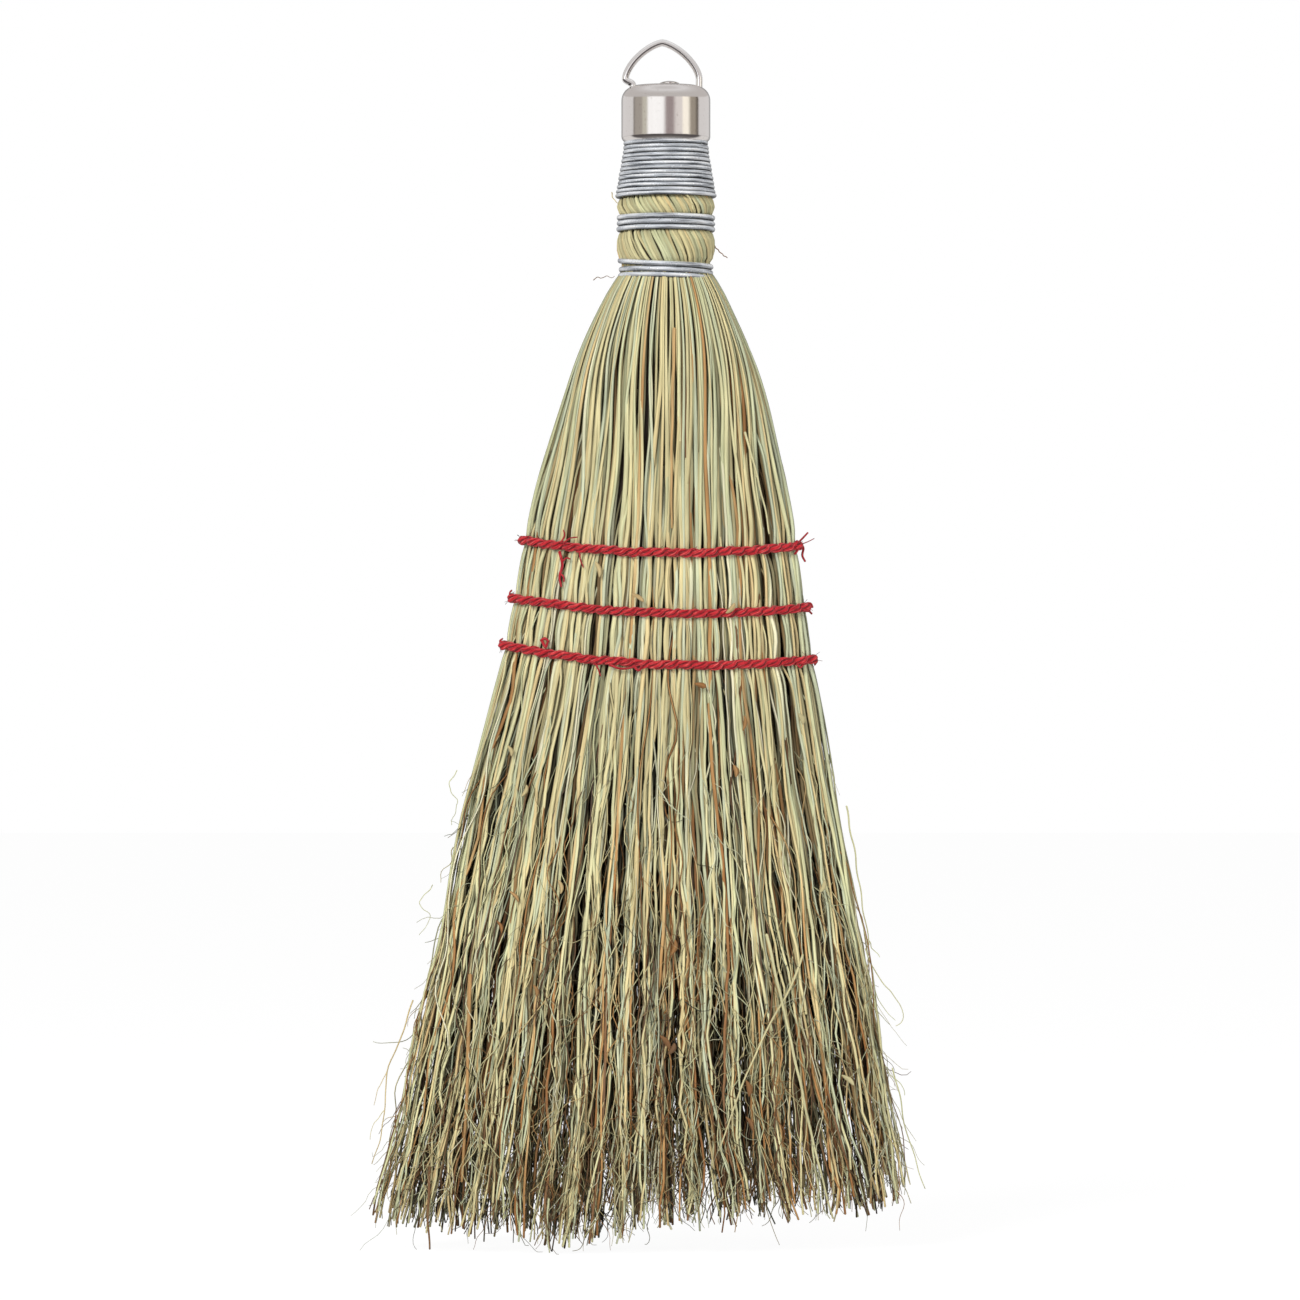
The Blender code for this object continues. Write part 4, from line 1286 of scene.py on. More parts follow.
    def bunch_rows(self, made: Strands) -> dict[Bunch, Rows]:
        """Which strands belong to which bunch, by where they lie a third of the way down.

        Args:
            made: The strands.

        Returns:
            For each bunch, which strands are its own.
        """
        at = made.paths[:, made.paths.shape[1] // 3]
        z = at[:, 2]
        u = (at[:, 0] - smooth_table(self.shape.middles, z)) / smooth_table(self.shape.widths, z)
        v = at[:, 1] / smooth_table(self.shape.depths, z)
        inner = np.hypot(u, v) < self.core_depth
        side = np.abs(u) > self.shoulder_share
        return {
            Bunch.CORE: inner,
            Bunch.LEFT: ~inner & side & (u < 0),
            Bunch.RIGHT: ~inner & side & (u > 0),
            Bunch.FRONT: ~inner & ~side & (v < 0),
            Bunch.BACK: ~inner & ~side & (v >= 0),
        }

    def shoots(self, parents: Strands, kind: ShootKind, draw: Random) -> Strands:
        """Side shoots that leave the strands near their ends.

        A shoot starts on its parent and turns at a steady rate with a kink: its direction's angle
        is the first angle plus the rate times the run, and its place the sum of the directions.

        Args:
            parents: The strands that carry them.
            kind: How many there are and how they leave.
            draw: The random draws.

        Returns:
            The shoots.
        """
        steps, count = kind.steps, kind.count
        parent = draw.integers(0, len(parents.paths), count)
        last = parents.paths.shape[1] - 2
        place = (last * draw.uniform(*kind.place, count) ** kind.place_power).astype(int)
        foot = parents.paths[parent, place]
        ahead = unit(parents.paths[parent, place + 1] - foot)
        out = parents.facing[parent, place]
        across = unit(np.cross(ahead, out))
        mix = draw.normal(*kind.proud, count)[:, None]
        side = unit(across * draw.choice([-1.0, 1.0], count)[:, None] + mix * out)
        length = draw.uniform(*kind.reach, count)
        step = length[:, None] * np.ones(steps) / (steps - 1)
        run = np.arange(steps) * step
        turn = draw.normal(0, kind.curl / np.mean(kind.reach), count)[:, None]
        first = np.abs(draw.normal(kind.spread, kind.spread, count))[:, None]
        angle = (first + turn * run + kind.kink.drawn(draw, run))[..., None]
        ways = np.cos(angle) * ahead[:, None] + np.sin(angle) * side[:, None]
        paths = foot[:, None] + np.cumsum(step[..., None] * ways, axis=1)
        paths[..., 2] = np.maximum(paths[..., 2], kind.lowest)
        radius = draw.uniform(*kind.radius, count)[:, None] * np.linspace(1, kind.end_share, steps)
        tone = parents.tone[parent, place] - draw.normal(kind.browner, kind.tone_scatter, count)
        shade = np.clip(parents.shade[parent, place] * kind.lighter, 0, 1)
        return Strands(
            paths, radius, np.repeat(out[:, None], steps, 1), np.clip(tone, *kind.tones), shade,
            kind.sides, edge_shade=kind.edge_shade, flat=True)

    def heart(self) -> Surface:
        """A dark closed form inside the sewn straw, so that no light comes through it.

        Returns:
            An oval at each height, filling a share of the head.
        """
        # The heart's dark colour is painted shade for the deep inside of the head.
        rings, sides = self.heart_grid
        z = np.linspace(self.heart_fill[0][0], self.heart_fill[-1][0], rings)
        z, share = np.meshgrid(z, np.arange(sides) / sides, indexing="ij")
        points, _, _ = self.shape.placed(share, straight_table(self.heart_fill, z), z, np.zeros_like(z))
        return grid_surface(points, PAINTED_SHADE_CORE_TONE, CORE_SHADE)

    def build(self, straw: Material) -> None:
        """Makes the pieces of each bunch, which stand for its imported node.

        Args:
            straw: The finish.
        """
        draw = np.random.default_rng(self.seed)
        grown: dict[tuple[Bunch, str], list[Surface]] = {(Bunch.CORE, "heart"): [self.heart()]}
        made = [(kind.part, self.strands(kind, draw)) for kind in self.kinds]
        outer = [strands for _, strands in made]
        for kind in self.shoot_kinds:
            made.append(("shoots", self.shoots(outer[kind.parent], kind, draw)))
        for part, strands in made:
            for bunch, rows in self.bunch_rows(strands).items():
                if rows.any():
                    grown.setdefault((bunch, part), []).append(strands.picked(rows).surface())
        for (bunch, part), surfaces in grown.items():
            piece = add_piece(f"{bunch.value}_{part}", Surface.joined(surfaces), straw)
            settle(piece, "broom", "inner_straw" if bunch is Bunch.CORE else "straw", bunch.value)


# Strays and husks

@dataclass
class Stray:
    """One loose straw, by points of its width and height in millimetres."""

    points: Table
    tone: float
    radius: float
    proud: float = 0.0006


@dataclass
class Strays:
    """The loose straws that the photograph shows, and the seed husks caught in the straw."""

    shape: HeadShape
    seed: int = 91
    straws: tuple[Stray, ...] = (
        Stray(
            ((-59, 63), (-61.8, 54), (-65.3, 45.4), (-66.1, 35.3), (-67.3, 27.7), (-69.3, 21.9)),
            0.40, 0.00022),
        Stray(((-65.3, 45.4), (-67.8, 40.3), (-68.8, 36.6)), 0.40, 0.00013),
        Stray(((-66.1, 35.3), (-69.2, 31.0), (-69.8, 28.0)), 0.5, 0.00012),
        Stray(((-47.6, 121), (-49.9, 117.2), (-47.9, 113.4), (-49.4, 107.1)), 0.70, 0.00014),
        Stray(((-54.0, 92), (-57.2, 87), (-54.6, 84.5), (-57.4, 79.4)), 0.70, 0.00013),
        Stray(
            ((55.0, 76), (56.7, 71.8), (60, 66.8), (63.8, 61.8), (64.3, 57.5), (62.8, 56.7)),
            0.66, 0.00018),
        Stray(((56.9, 69.0), (57.5, 65.5), (61.3, 59.2), (62.6, 58.0)), 0.72, 0.00014),
        Stray(((55.9, 78.5), (56.6, 76.5), (58.8, 74.0)), 0.70, 0.00016),
        Stray(((60.0, 46.5), (61.5, 44.1), (64.3, 41.6), (65.0, 39.1)), 0.72, 0.00016),
        Stray(((62.0, 46), (62.8, 42.9), (65.4, 30.3), (70.1, 15.6)), 0.68, 0.00022),
        Stray(((50.2, 112), (52.4, 100), (54.2, 88), (56.1, 77)), 0.66, 0.00026),
        Stray(((30.0, 80), (33.2, 66), (37.3, 47.9), (42.4, 25), (46.6, 8.8)), 0.62, 0.00046, 0.0010),
        Stray(((39.1, 75), (35.6, 66), (29.7, 55.5), (22.2, 37.8), (18.0, 26)), 0.56, 0.00034, 0.0008),
        Stray(((2.4, 118), (5.4, 113), (10.8, 108.4)), 0.85, 0.00018, 0.0012),
        Stray(((-44.3, 70), (-44.6, 63), (-44.9, 47), (-45.6, 30.3), (-46.4, 18)), 0.28, 0.00060, 0.0001),
        Stray(((-45.6, 36), (-42.0, 30), (-38.5, 26), (-35.2, 22.6)), 0.62, 0.00016, 0.0012),
        Stray(((6.9, 232), (6.5, 215), (6.2, 200), (6.2, 182)), 0.31, 0.00050, -0.0006),
        Stray(((-54.4, 22), (-54.9, 9), (-54.5, 1.2)), 0.13, 0.00042, 0.0004),
        Stray(((-24.6, 14), (-24.9, 6), (-24.4, 0.6)), 0.72, 0.00030, 0.0004),
        Stray(((24.6, 206), (27.4, 196), (29.6, 187), (30.8, 180.6)), 0.60, 0.00034, 0.0002),
        Stray(((-13.4, 244.8), (-11.1, 245.3), (-8.2, 245.4)), 0.12, 0.00012, 0.0004),
        Stray(((-8.9, 266.6), (-8.4, 265.0), (-7.0, 263.6)), 0.40, 0.00016, 0.0006),
        Stray(((15.9, 256.4), (16.6, 253.9), (18.4, 251.6), (20.2, 250.1)), 0.16, 0.00020, 0.0006),
        Stray(((13.8, 266.2), (15.6, 264.6), (16.1, 262.6)), 0.30, 0.00018, 0.0006),
        Stray(((9.4, 265.9), (10.9, 264.3), (11.6, 261.6)), 0.55, 0.00030, 0.0008),
    )
    husks: tuple[Span, ...] = (
        (13.4, 142.4, 70, 0.26), (4.5, 53.2, 35, 0.20), (6.1, 51.6, -30, 0.16), (-37, 81.9, 20, 0.26),
        (25.2, 41.6, 10, 0.22), (25.6, 32.8, 25, 0.20), (6.6, 76.9, -15, 0.28), (-21.9, 92, 10, 0.44),
        (-34.5, 126, 20, 0.52), (-30.8, 116, -25, 0.52), (-33.3, 89.5, 40, 0.36), (50.4, 43.4, 50, 0.66),
        (-2.3, 164.4, 55, 0.42), (20.9, 161.8, -40, 0.44), (-12.4, 171.5, 15, 0.48), (38.6, 134, 20, 0.60),
        (-28.0, 66.0, 15, 0.32), (44.0, 92.0, -20, 0.58), (22.0, 121.0, 10, 0.32), (24.2, 133.0, -5, 0.30),
    )
    steps: int = 30
    sides: int = 6
    edge_shade: float = 0.5
    end_share: float = 0.6
    crinkle_step: float = 0.006
    crinkle: Wander = Wander(0.00012, (0.004, 0.012))
    husk_radius: float = 0.00066
    husk_length: float = 0.0034
    husk_steps: int = 9
    husk_proud: float = 0.0012
    husk_bend: float = 0.0005
    husk_lift: float = 0.12
    husk_ends: Range = (0.04, 0.96)
    husk_blunt: float = 0.7
    husk_thickness: float = 0.6
    husk_tone: float = 0.8
    husk_shade: float = 0.85
    husk_edge_shade: float = 0.35
    long_mix: tuple[float, float, float] = (0.8, 0.4, 7.1)
    wide_mix: tuple[float, float, float] = (0.8, 0.5, 3.7)

    def straw_strands(self) -> list[Surface]:
        """Each loose straw as a tube along the smooth line through its points.

        Returns:
            One surface a straw.
        """
        draw = np.random.default_rng(self.seed)
        made = []
        for stray in self.straws:
            line = resampled(np.array(stray.points) / MM_A_METRE, self.steps)
            run = np.linspace(0, 1, self.steps) * len(stray.points) * self.crinkle_step
            line = line + self.crinkle.drawn(draw, run[None].repeat(2, 0)).T
            path = self.shape.front(line[:, 0], line[:, 1], stray.proud)[None]
            radii = stray.radius * np.linspace(1, self.end_share, self.steps)[None]
            made.append(Strands(
                path, radii, facing_front(path), np.array([stray.tone]), np.array([1.0]), self.sides,
                edge_shade=self.edge_shade).surface())
        return made

    def husk_strands(self) -> Surface:
        """The husks as spindles: the radius is the sine of the run, and each leans by its angle.

        Their lengths and widths differ: a least share, plus a spread times the broken part of a
        multiple of their places.

        Returns:
            All of them as one surface.
        """
        x, z, lean, tone = np.array(self.husks).T
        t = np.linspace(0, 1, self.husk_steps)
        angle = np.radians(lean)[:, None]
        least, spread, multiple = self.long_mix
        run = self.husk_length * (t - 0.5) * (least + spread * ((x * multiple) % 1))[:, None]
        middle = self.shape.front(x / MM_A_METRE, z / MM_A_METRE, self.husk_proud)
        bend = self.husk_bend * np.sin(math.pi * t)
        paths = middle[:, None] + np.stack([
            np.sin(angle) * run + bend, -self.husk_lift * np.abs(run), -np.cos(angle) * run], -1)
        first, last = self.husk_ends
        swell = np.sin(math.pi * (first + (last - first) * t)) ** self.husk_blunt
        least, spread, multiple = self.wide_mix
        radii = self.husk_radius * swell * (least + spread * ((z * multiple) % 1))[:, None]
        return Strands(
            paths, radii, facing_front(paths), self.husk_tone * tone, np.full(len(x), self.husk_shade),
            self.sides, self.husk_thickness, edge_shade=self.husk_edge_shade).surface()

    def build(self, straw: Material) -> None:
        """Makes the loose straws and the husks.

        Args:
            straw: The finish.
        """
        settle(add_piece("stray_straws", Surface.joined(self.straw_strands()), straw), "broom", "straw")
        settle(add_piece("seed_husks", self.husk_strands(), straw), "broom", "straw")


# Neck

@dataclass
class Neck:
    """The stalks' butts, twisted under the wires and on into the cap."""

    axis_x: float = NECK_X
    bottom: float = 0.2440
    top: float = 0.2885
    stalks: int = 96
    half_width: Range = (0.00044, 0.00066)
    sunk: float = 0.00032
    thickness: float = 0.8
    sides: int = 8
    edge_shade: float = 0.12
    steps: int = 90
    turning: Table = ((0.2440, 0.0), (0.2588, 0.62), (0.2652, 0.98), (0.2885, 1.90))
    place_scatter: float = 0.3
    turn_scatter: float = 0.025
    turn_wave: Wander = Wander(0.020, (0.012, 0.04))
    reach_wave: Wander = Wander(0.00010, (0.008, 0.03))
    tone_wave: Wander = Wander(0.04, (0.01, 0.04))
    tones: Range = (0.42, 0.76)
    brown: float = 0.07
    brown_tone: float = 0.33
    # Painted shade: a stalk sunk deeper into the neck is darker by this share.
    sunk_darker: float = 0.35
    core_inset: float = 0.0010
    core_grid: tuple[int, int] = (60, 64)
    seed: int = 7
    radii: Table = (
        (0.2440, 0.01115), (0.2491, 0.01115), (0.2500, 0.01190), (0.2520, 0.01238),
        (0.2545, 0.01238), (0.2560, 0.01190), (0.2568, 0.01125), (0.2607, 0.01125),
        (0.2614, 0.01190), (0.2630, 0.01235), (0.2645, 0.01195), (0.2652, 0.01125),
        (0.2790, 0.00900), (0.2820, 0.00900), (0.2885, 0.00960),
    )

    def build(self, straw: Material) -> None:
        """Makes the twisted stalks round a dark core.

        A stalk's angle is its first angle less the turning at its height, and its radius is the
        neck's at that height less its own thickness, with a small wander of both. The dark core is
        painted shade between the stalks.

        Args:
            straw: The finish.
        """
        draw = np.random.default_rng(self.seed)
        count = self.stalks
        z = np.broadcast_to(np.linspace(self.bottom, self.top, self.steps), (count, self.steps))
        run = z - self.bottom
        scatter = draw.uniform(-self.place_scatter, self.place_scatter, count)
        first = 2 * math.pi * (np.arange(count) + scatter) / count
        turn = straight_table(self.turning, z) * (1 + draw.normal(0, self.turn_scatter, count))[:, None]
        angle = first[:, None] - turn + self.turn_wave.drawn(draw, run)
        half = draw.uniform(*self.half_width, count)
        sunk = draw.uniform(0, self.sunk, count)[:, None]
        reach = straight_table(self.radii, z) - self.thickness * half[:, None] - sunk
        reach = reach + self.reach_wave.drawn(draw, run)
        out = outward(angle)
        paths = out * reach[..., None]
        paths[..., 0] += self.axis_x
        paths[..., 2] = z
        tone = draw.uniform(*self.tones, count)
        tone = np.where(draw.uniform(0, 1, count) < self.brown, self.brown_tone, tone)
        tone = tone[:, None] + self.tone_wave.drawn(draw, run)
        # Painted shade, darker the deeper the stalk is sunk.
        shade = (1 - self.sunk_darker * sunk / self.sunk) * np.ones_like(z)
        made = Strands(
            paths, np.broadcast_to(half[:, None], z.shape), out, tone, shade, self.sides, self.thickness,
            edge_shade=self.edge_shade).surface()
        rings, sides = self.core_grid
        heights = np.linspace(self.top, self.bottom, rings)
        core = np.stack([straight_table(self.radii, heights) - self.core_inset, heights], 1)
        core = grid_surface(turned(core, self.axis_x, sides), PAINTED_SHADE_CORE_TONE, CORE_SHADE)
        piece = add_piece("neck_stalk_butts", Surface.joined([made, core]), straw)
        settle(piece, "broom", "straw", "neck_stalks")


# Wire

@dataclass
class WireBinding:
    """One winding of galvanised wire round the neck, with its ends turned in."""

    name: str
    bottom: float
    top: float
    turns: float
    start_angle: float
    seats: Table
    tilt: float = 0.0
    climb: float = 0.0
    wire_radius: float = 0.00056
    axis_x: float = NECK_X
    dive: float = 0.0022
    dive_share: float = 0.10
    climb_share: float = 0.4
    step_share: float = 0.22
    points_a_turn: int = 44
    rise_wobble: Wander = Wander(0.00009, (0.5, 2.0), 3)
    reach_wobble: Wander = Wander(0.000054, (0.5, 1.6), 3)
    sides: int = 12
    end_share: float = 0.3
    # Painted shade between the turns, and a lean that paints a highlight on the top of each turn.
    edge_shade: float = 0.03
    lean: float = 0.60
    seed: int = 3

    def build(self, wire: Material) -> None:
        """Winds the wire.

        Each turn lies level and steps down to the next over a share of the turn. At each end the
        radius falls by the dive over a tenth of a turn, which takes the end into the straw. A tilt
        raises one side of the whole winding by the cosine of the angle, and a climb raises the
        start and fades out over four tenths of a turn.

        Args:
            wire: The finish.
        """
        draw = np.random.default_rng(self.seed)
        count = round(self.turns * self.points_a_turn)
        run = np.linspace(0, self.turns, count)
        angle = math.radians(self.start_angle) + 2 * math.pi * run
        lap = np.floor(run) + eased((run - np.floor(run) - 1 + self.step_share) / self.step_share)
        last = round(self.turns) - 1
        pitch = (self.top - self.bottom - 2 * self.wire_radius) / last
        climb = self.climb * (1 - eased(run / self.climb_share))
        z = self.top - self.wire_radius - pitch * np.minimum(lap, last) + climb
        inward = 1 - eased(np.minimum(run, self.turns - run) / self.dive_share)
        reach = straight_table(self.seats, z) - self.wire_radius - self.dive * inward
        z = z + self.rise_wobble.drawn(draw, run[None])[0] + self.tilt * np.cos(angle)
        reach = reach + self.reach_wobble.drawn(draw, run[None])[0]
        out = outward(angle)
        paths = (out * reach[:, None] + np.stack([0 * z + self.axis_x, 0 * z, z], -1))[None]
        made = Strands(
            paths, np.full(paths.shape[:2], self.wire_radius), out[None], np.array([0.5]),
            np.array([1.0]), self.sides, 1.0, self.end_share, self.edge_shade,
            lean=self.lean).surface()
        piece = add_piece(self.name, made, wire)
        settle(piece, "broom", "galvanised_wire", f"{self.name}_binding")


def wire_bindings() -> tuple[WireBinding, ...]:
    """The windings that the photograph shows.

    Returns:
        The three, from the lowest up. Each of their seats is a height and the radius under it.
    """
    return (
        WireBinding(
            "lower_wire", bottom=0.2446, top=0.2489, turns=3.1, start_angle=130,
            seats=((0.2440, 0.01205), (0.2484, 0.01193), (0.2498, 0.01245)), tilt=-0.00035,
            climb=0.0013, wire_radius=0.00070, seed=5),
        WireBinding(
            "middle_wire", bottom=0.2566, top=0.2609, turns=3.1, start_angle=100,
            seats=((0.2560, 0.01250), (0.2615, 0.01240)), wire_radius=0.00070, seed=6),
        WireBinding(
            "upper_wire", bottom=0.2652, top=0.2796, turns=13.2, start_angle=60,
            seats=(
                (0.2655, 0.01285), (0.2664, 0.01262), (0.2692, 0.01215), (0.2723, 0.01165),
                (0.2753, 0.01112), (0.2768, 0.01090), (0.2783, 0.01075), (0.2800, 0.01060),
            ), seed=8),
    )


# Twine

@dataclass
class TwineRow:
    """One row of red twine: plies laid round the head, dipping at each stitch, with fuzz on them."""

    name: str
    row: int
    shape: HeadShape
    seed: int
    rope_radius: float = 0.00112
    ply_radius: float = 0.00054
    ply_offset: float = 0.00062
    lay: float = 0.0105
    plies: int = 4
    steps: int = 1300
    sides: int = 8
    end_share: float = 0.3
    edge_shade: float = 0.30
    stitch_dip: float = 0.00030
    stitch_shift: float = 0.00012
    shift_wave: Wander = Wander(0.00013, (0.05, 0.2), 3)
    still_share: float = 0.05
    proud_share: float = 0.35
    fuzz: int = 150
    fuzz_steps: int = 7
    fuzz_sides: int = 3
    fuzz_margin: int = 8
    fuzz_length: Range = (0.0008, 0.0022)
    fuzz_radius: float = 0.00006
    fuzz_angle: float = 1.9
    fuzz_seat: float = 0.8
    fuzz_bend: float = 0.55
    fuzz_shade: float = 0.9

    def centreline(self, draw: Random) -> tuple[Array, Array]:
        """The rope's middle round the head, half sunk in the straw, dipping and shifting at each stitch.

        It starts and ends at the head's right edge, where it keeps to the row's height.

        Args:
            draw: The random draws.

        Returns:
            Its points, and the way out of the head at each.
        """
        shape = self.shape
        share = np.linspace(0, 1, self.steps)
        level = np.full_like(share, shape.rows[self.row][1][1])
        x = shape.placed(share, np.ones_like(share), level, np.zeros_like(share))[0][:, 0]
        stitch = np.cos(2 * math.pi * shape.tufts * share)
        loose = np.clip(np.minimum(share, 1 - share) / self.still_share, 0, 1)
        shift = self.stitch_shift * stitch + self.shift_wave.drawn(draw, share[None])[0]
        z = shape.row_height(self.row, x) + shift * loose
        points, out, _ = shape.placed(
            share, np.ones_like(share), z, -self.proud_share * self.rope_radius + self.stitch_dip * stitch)
        return points, out

    def build(self, twine: Material) -> None:
        """Lays the plies.

        A ply's point is the rope's middle plus the ply's offset times the cosine of its angle out
        of the head and the sine upwards, the angle growing by a turn for each lay of the run.

        Args:
            twine: The finish.
        """
        draw = np.random.default_rng(self.seed)
        middle, out = self.centreline(draw)
        run = np.concatenate([[0], np.cumsum(np.linalg.norm(np.diff(middle, axis=0), axis=1))])
        up = unit(np.cross(out, np.gradient(middle, axis=0)))
        angle = 2 * math.pi * (run[None] / self.lay + np.arange(self.plies)[:, None] / self.plies)
        ways = np.cos(angle)[..., None] * out + np.sin(angle)[..., None] * up
        paths = middle[None] + self.ply_offset * ways
        plies = Strands(
            paths, np.full(paths.shape[:2], self.ply_radius), ways, np.full(self.plies, 0.5),
            np.ones(self.plies), self.sides, 1.0, self.end_share, self.edge_shade).surface()
        piece = add_piece(self.name, Surface.joined([plies, self.fibres(middle, out, up, draw)]), twine)
        settle(piece, "broom", "red_twine", f"{self.name}_row")

    def fibres(self, middle: Array, out: Array, up: Array, draw: Random) -> Surface:
        """Fine fibres that stand off the rope: each leaves its surface and bends with the square of the run.

        Args:
            middle: The rope's middle.
            out: The way out of the head at each of its points.
            up: The way up there.
            draw: The random draws.

        Returns:
            All of them as one surface.
        """
        place = draw.integers(self.fuzz_margin, len(middle) - self.fuzz_margin, self.fuzz)
        angle = draw.uniform(-self.fuzz_angle, self.fuzz_angle, self.fuzz)[:, None]
        way = np.cos(angle) * out[place] + np.sin(angle) * up[place]
        nearby = self.fuzz_margin // 2
        along = unit(middle[place + nearby] - middle[place - nearby])
        along = along * draw.choice([-1.0, 1.0], self.fuzz)[:, None]
        t = np.linspace(0, 1, self.fuzz_steps)[None, :, None]
        length = draw.uniform(*self.fuzz_length, self.fuzz)[:, None, None]
        paths = (middle[place] + self.rope_radius * self.fuzz_seat * way)[:, None] + length * (
            t * along[:, None] + self.fuzz_bend * t**2 * way[:, None])
        radii = np.full(paths.shape[:2], self.fuzz_radius)
        return Strands(
            paths, radii, np.repeat(way[:, None], self.fuzz_steps, 1), np.full(self.fuzz, 0.5),
            np.full(self.fuzz, self.fuzz_shade), self.fuzz_sides).surface()


@dataclass
class TwineEnds:
    """The knots and loose ends of the red twine, by points in millimetres and a radius in millimetres."""

    shape: HeadShape
    steps: int = 14
    sides: int = 7
    proud: float = 0.0007
    end_share: float = 0.75
    shade: float = 0.85
    edge_shade: float = 0.35
    ends: tuple[tuple[Table, float], ...] = (
        (((-21.9, 176.0), (-21.2, 172.6), (-21.9, 169.5), (-21.5, 167.2)), 0.42),
        (((-21.3, 173.4), (-20.0, 174.4), (-19.2, 174.1)), 0.26),
        (((-21.8, 170.6), (-20.9, 169.6), (-20.8, 168.4)), 0.30),
        (((-16.9, 175.8), (-16.6, 173.8), (-15.9, 172.0)), 0.22),
        (((-21.6, 178.2), (-20.6, 180.2), (-20.9, 181.4)), 0.26),
        (((-20.9, 178.2), (-19.0, 179.4), (-17.4, 179.6)), 0.22),
        (((-26.6, 153.6), (-25.6, 154.2), (-24.6, 153.4)), 0.42),
        (((-26.2, 153.4), (-25.4, 152.0), (-24.9, 153.2)), 0.42),
        (((-13.1, 148.2), (-12.3, 146.8), (-11.6, 144.8)), 0.26),
        (((-9.4, 147.6), (-6.4, 146.6), (-3.6, 147.0), (-2.0, 147.6)), 0.34),
        (((-3.4, 147.4), (-2.0, 146.2), (-1.2, 147.2)), 0.40),
        (((37.6, 178.6), (39.4, 177.2), (39.2, 175.0), (39.9, 173.6)), 0.36),
        (((37.2, 177.4), (39.2, 179.4), (40.6, 180.9)), 0.30),
        (((38.4, 177.8), (40.6, 178.6), (42.2, 179.4)), 0.14),
        (((37.8, 178.8), (38.0, 176.6), (37.2, 175.4)), 0.40),
        (((39.0, 162.8), (41.4, 162.9), (41.8, 162.0)), 0.34),
        (((39.0, 161.4), (41.0, 161.0), (41.6, 160.4)), 0.34),
        (((37.8, 147.8), (38.6, 146.9), (39.4, 147.6)), 0.32),
        (((42.0, 149.6), (42.9, 148.6), (42.3, 147.6)), 0.34),
        (((-34.6, 164.6), (-34.4, 166.0), (-34.0, 166.4)), 0.26),
        (((-36.6, 152.6), (-37.0, 153.6), (-36.3, 154.2)), 0.28),
    )

    def build(self, twine: Material) -> None:
        """Makes each end as a tube along the smooth line through its points, just proud of the straw.

        Args:
            twine: The finish.
        """
        surfaces = []
        for points, radius in self.ends:
            line = resampled(np.array(points) / MM_A_METRE, self.steps)
            path = self.shape.front(line[:, 0], line[:, 1], self.proud)[None]
            radii = radius / MM_A_METRE * np.linspace(1, self.end_share, self.steps)[None]
            surfaces.append(Strands(
                path, radii, facing_front(path), np.array([0.5]), np.array([self.shade]), self.sides,
                edge_shade=self.edge_shade).surface())
        settle(add_piece("twine_ends", Surface.joined(surfaces), twine), "broom", "red_twine")


# Cap, nail and ring

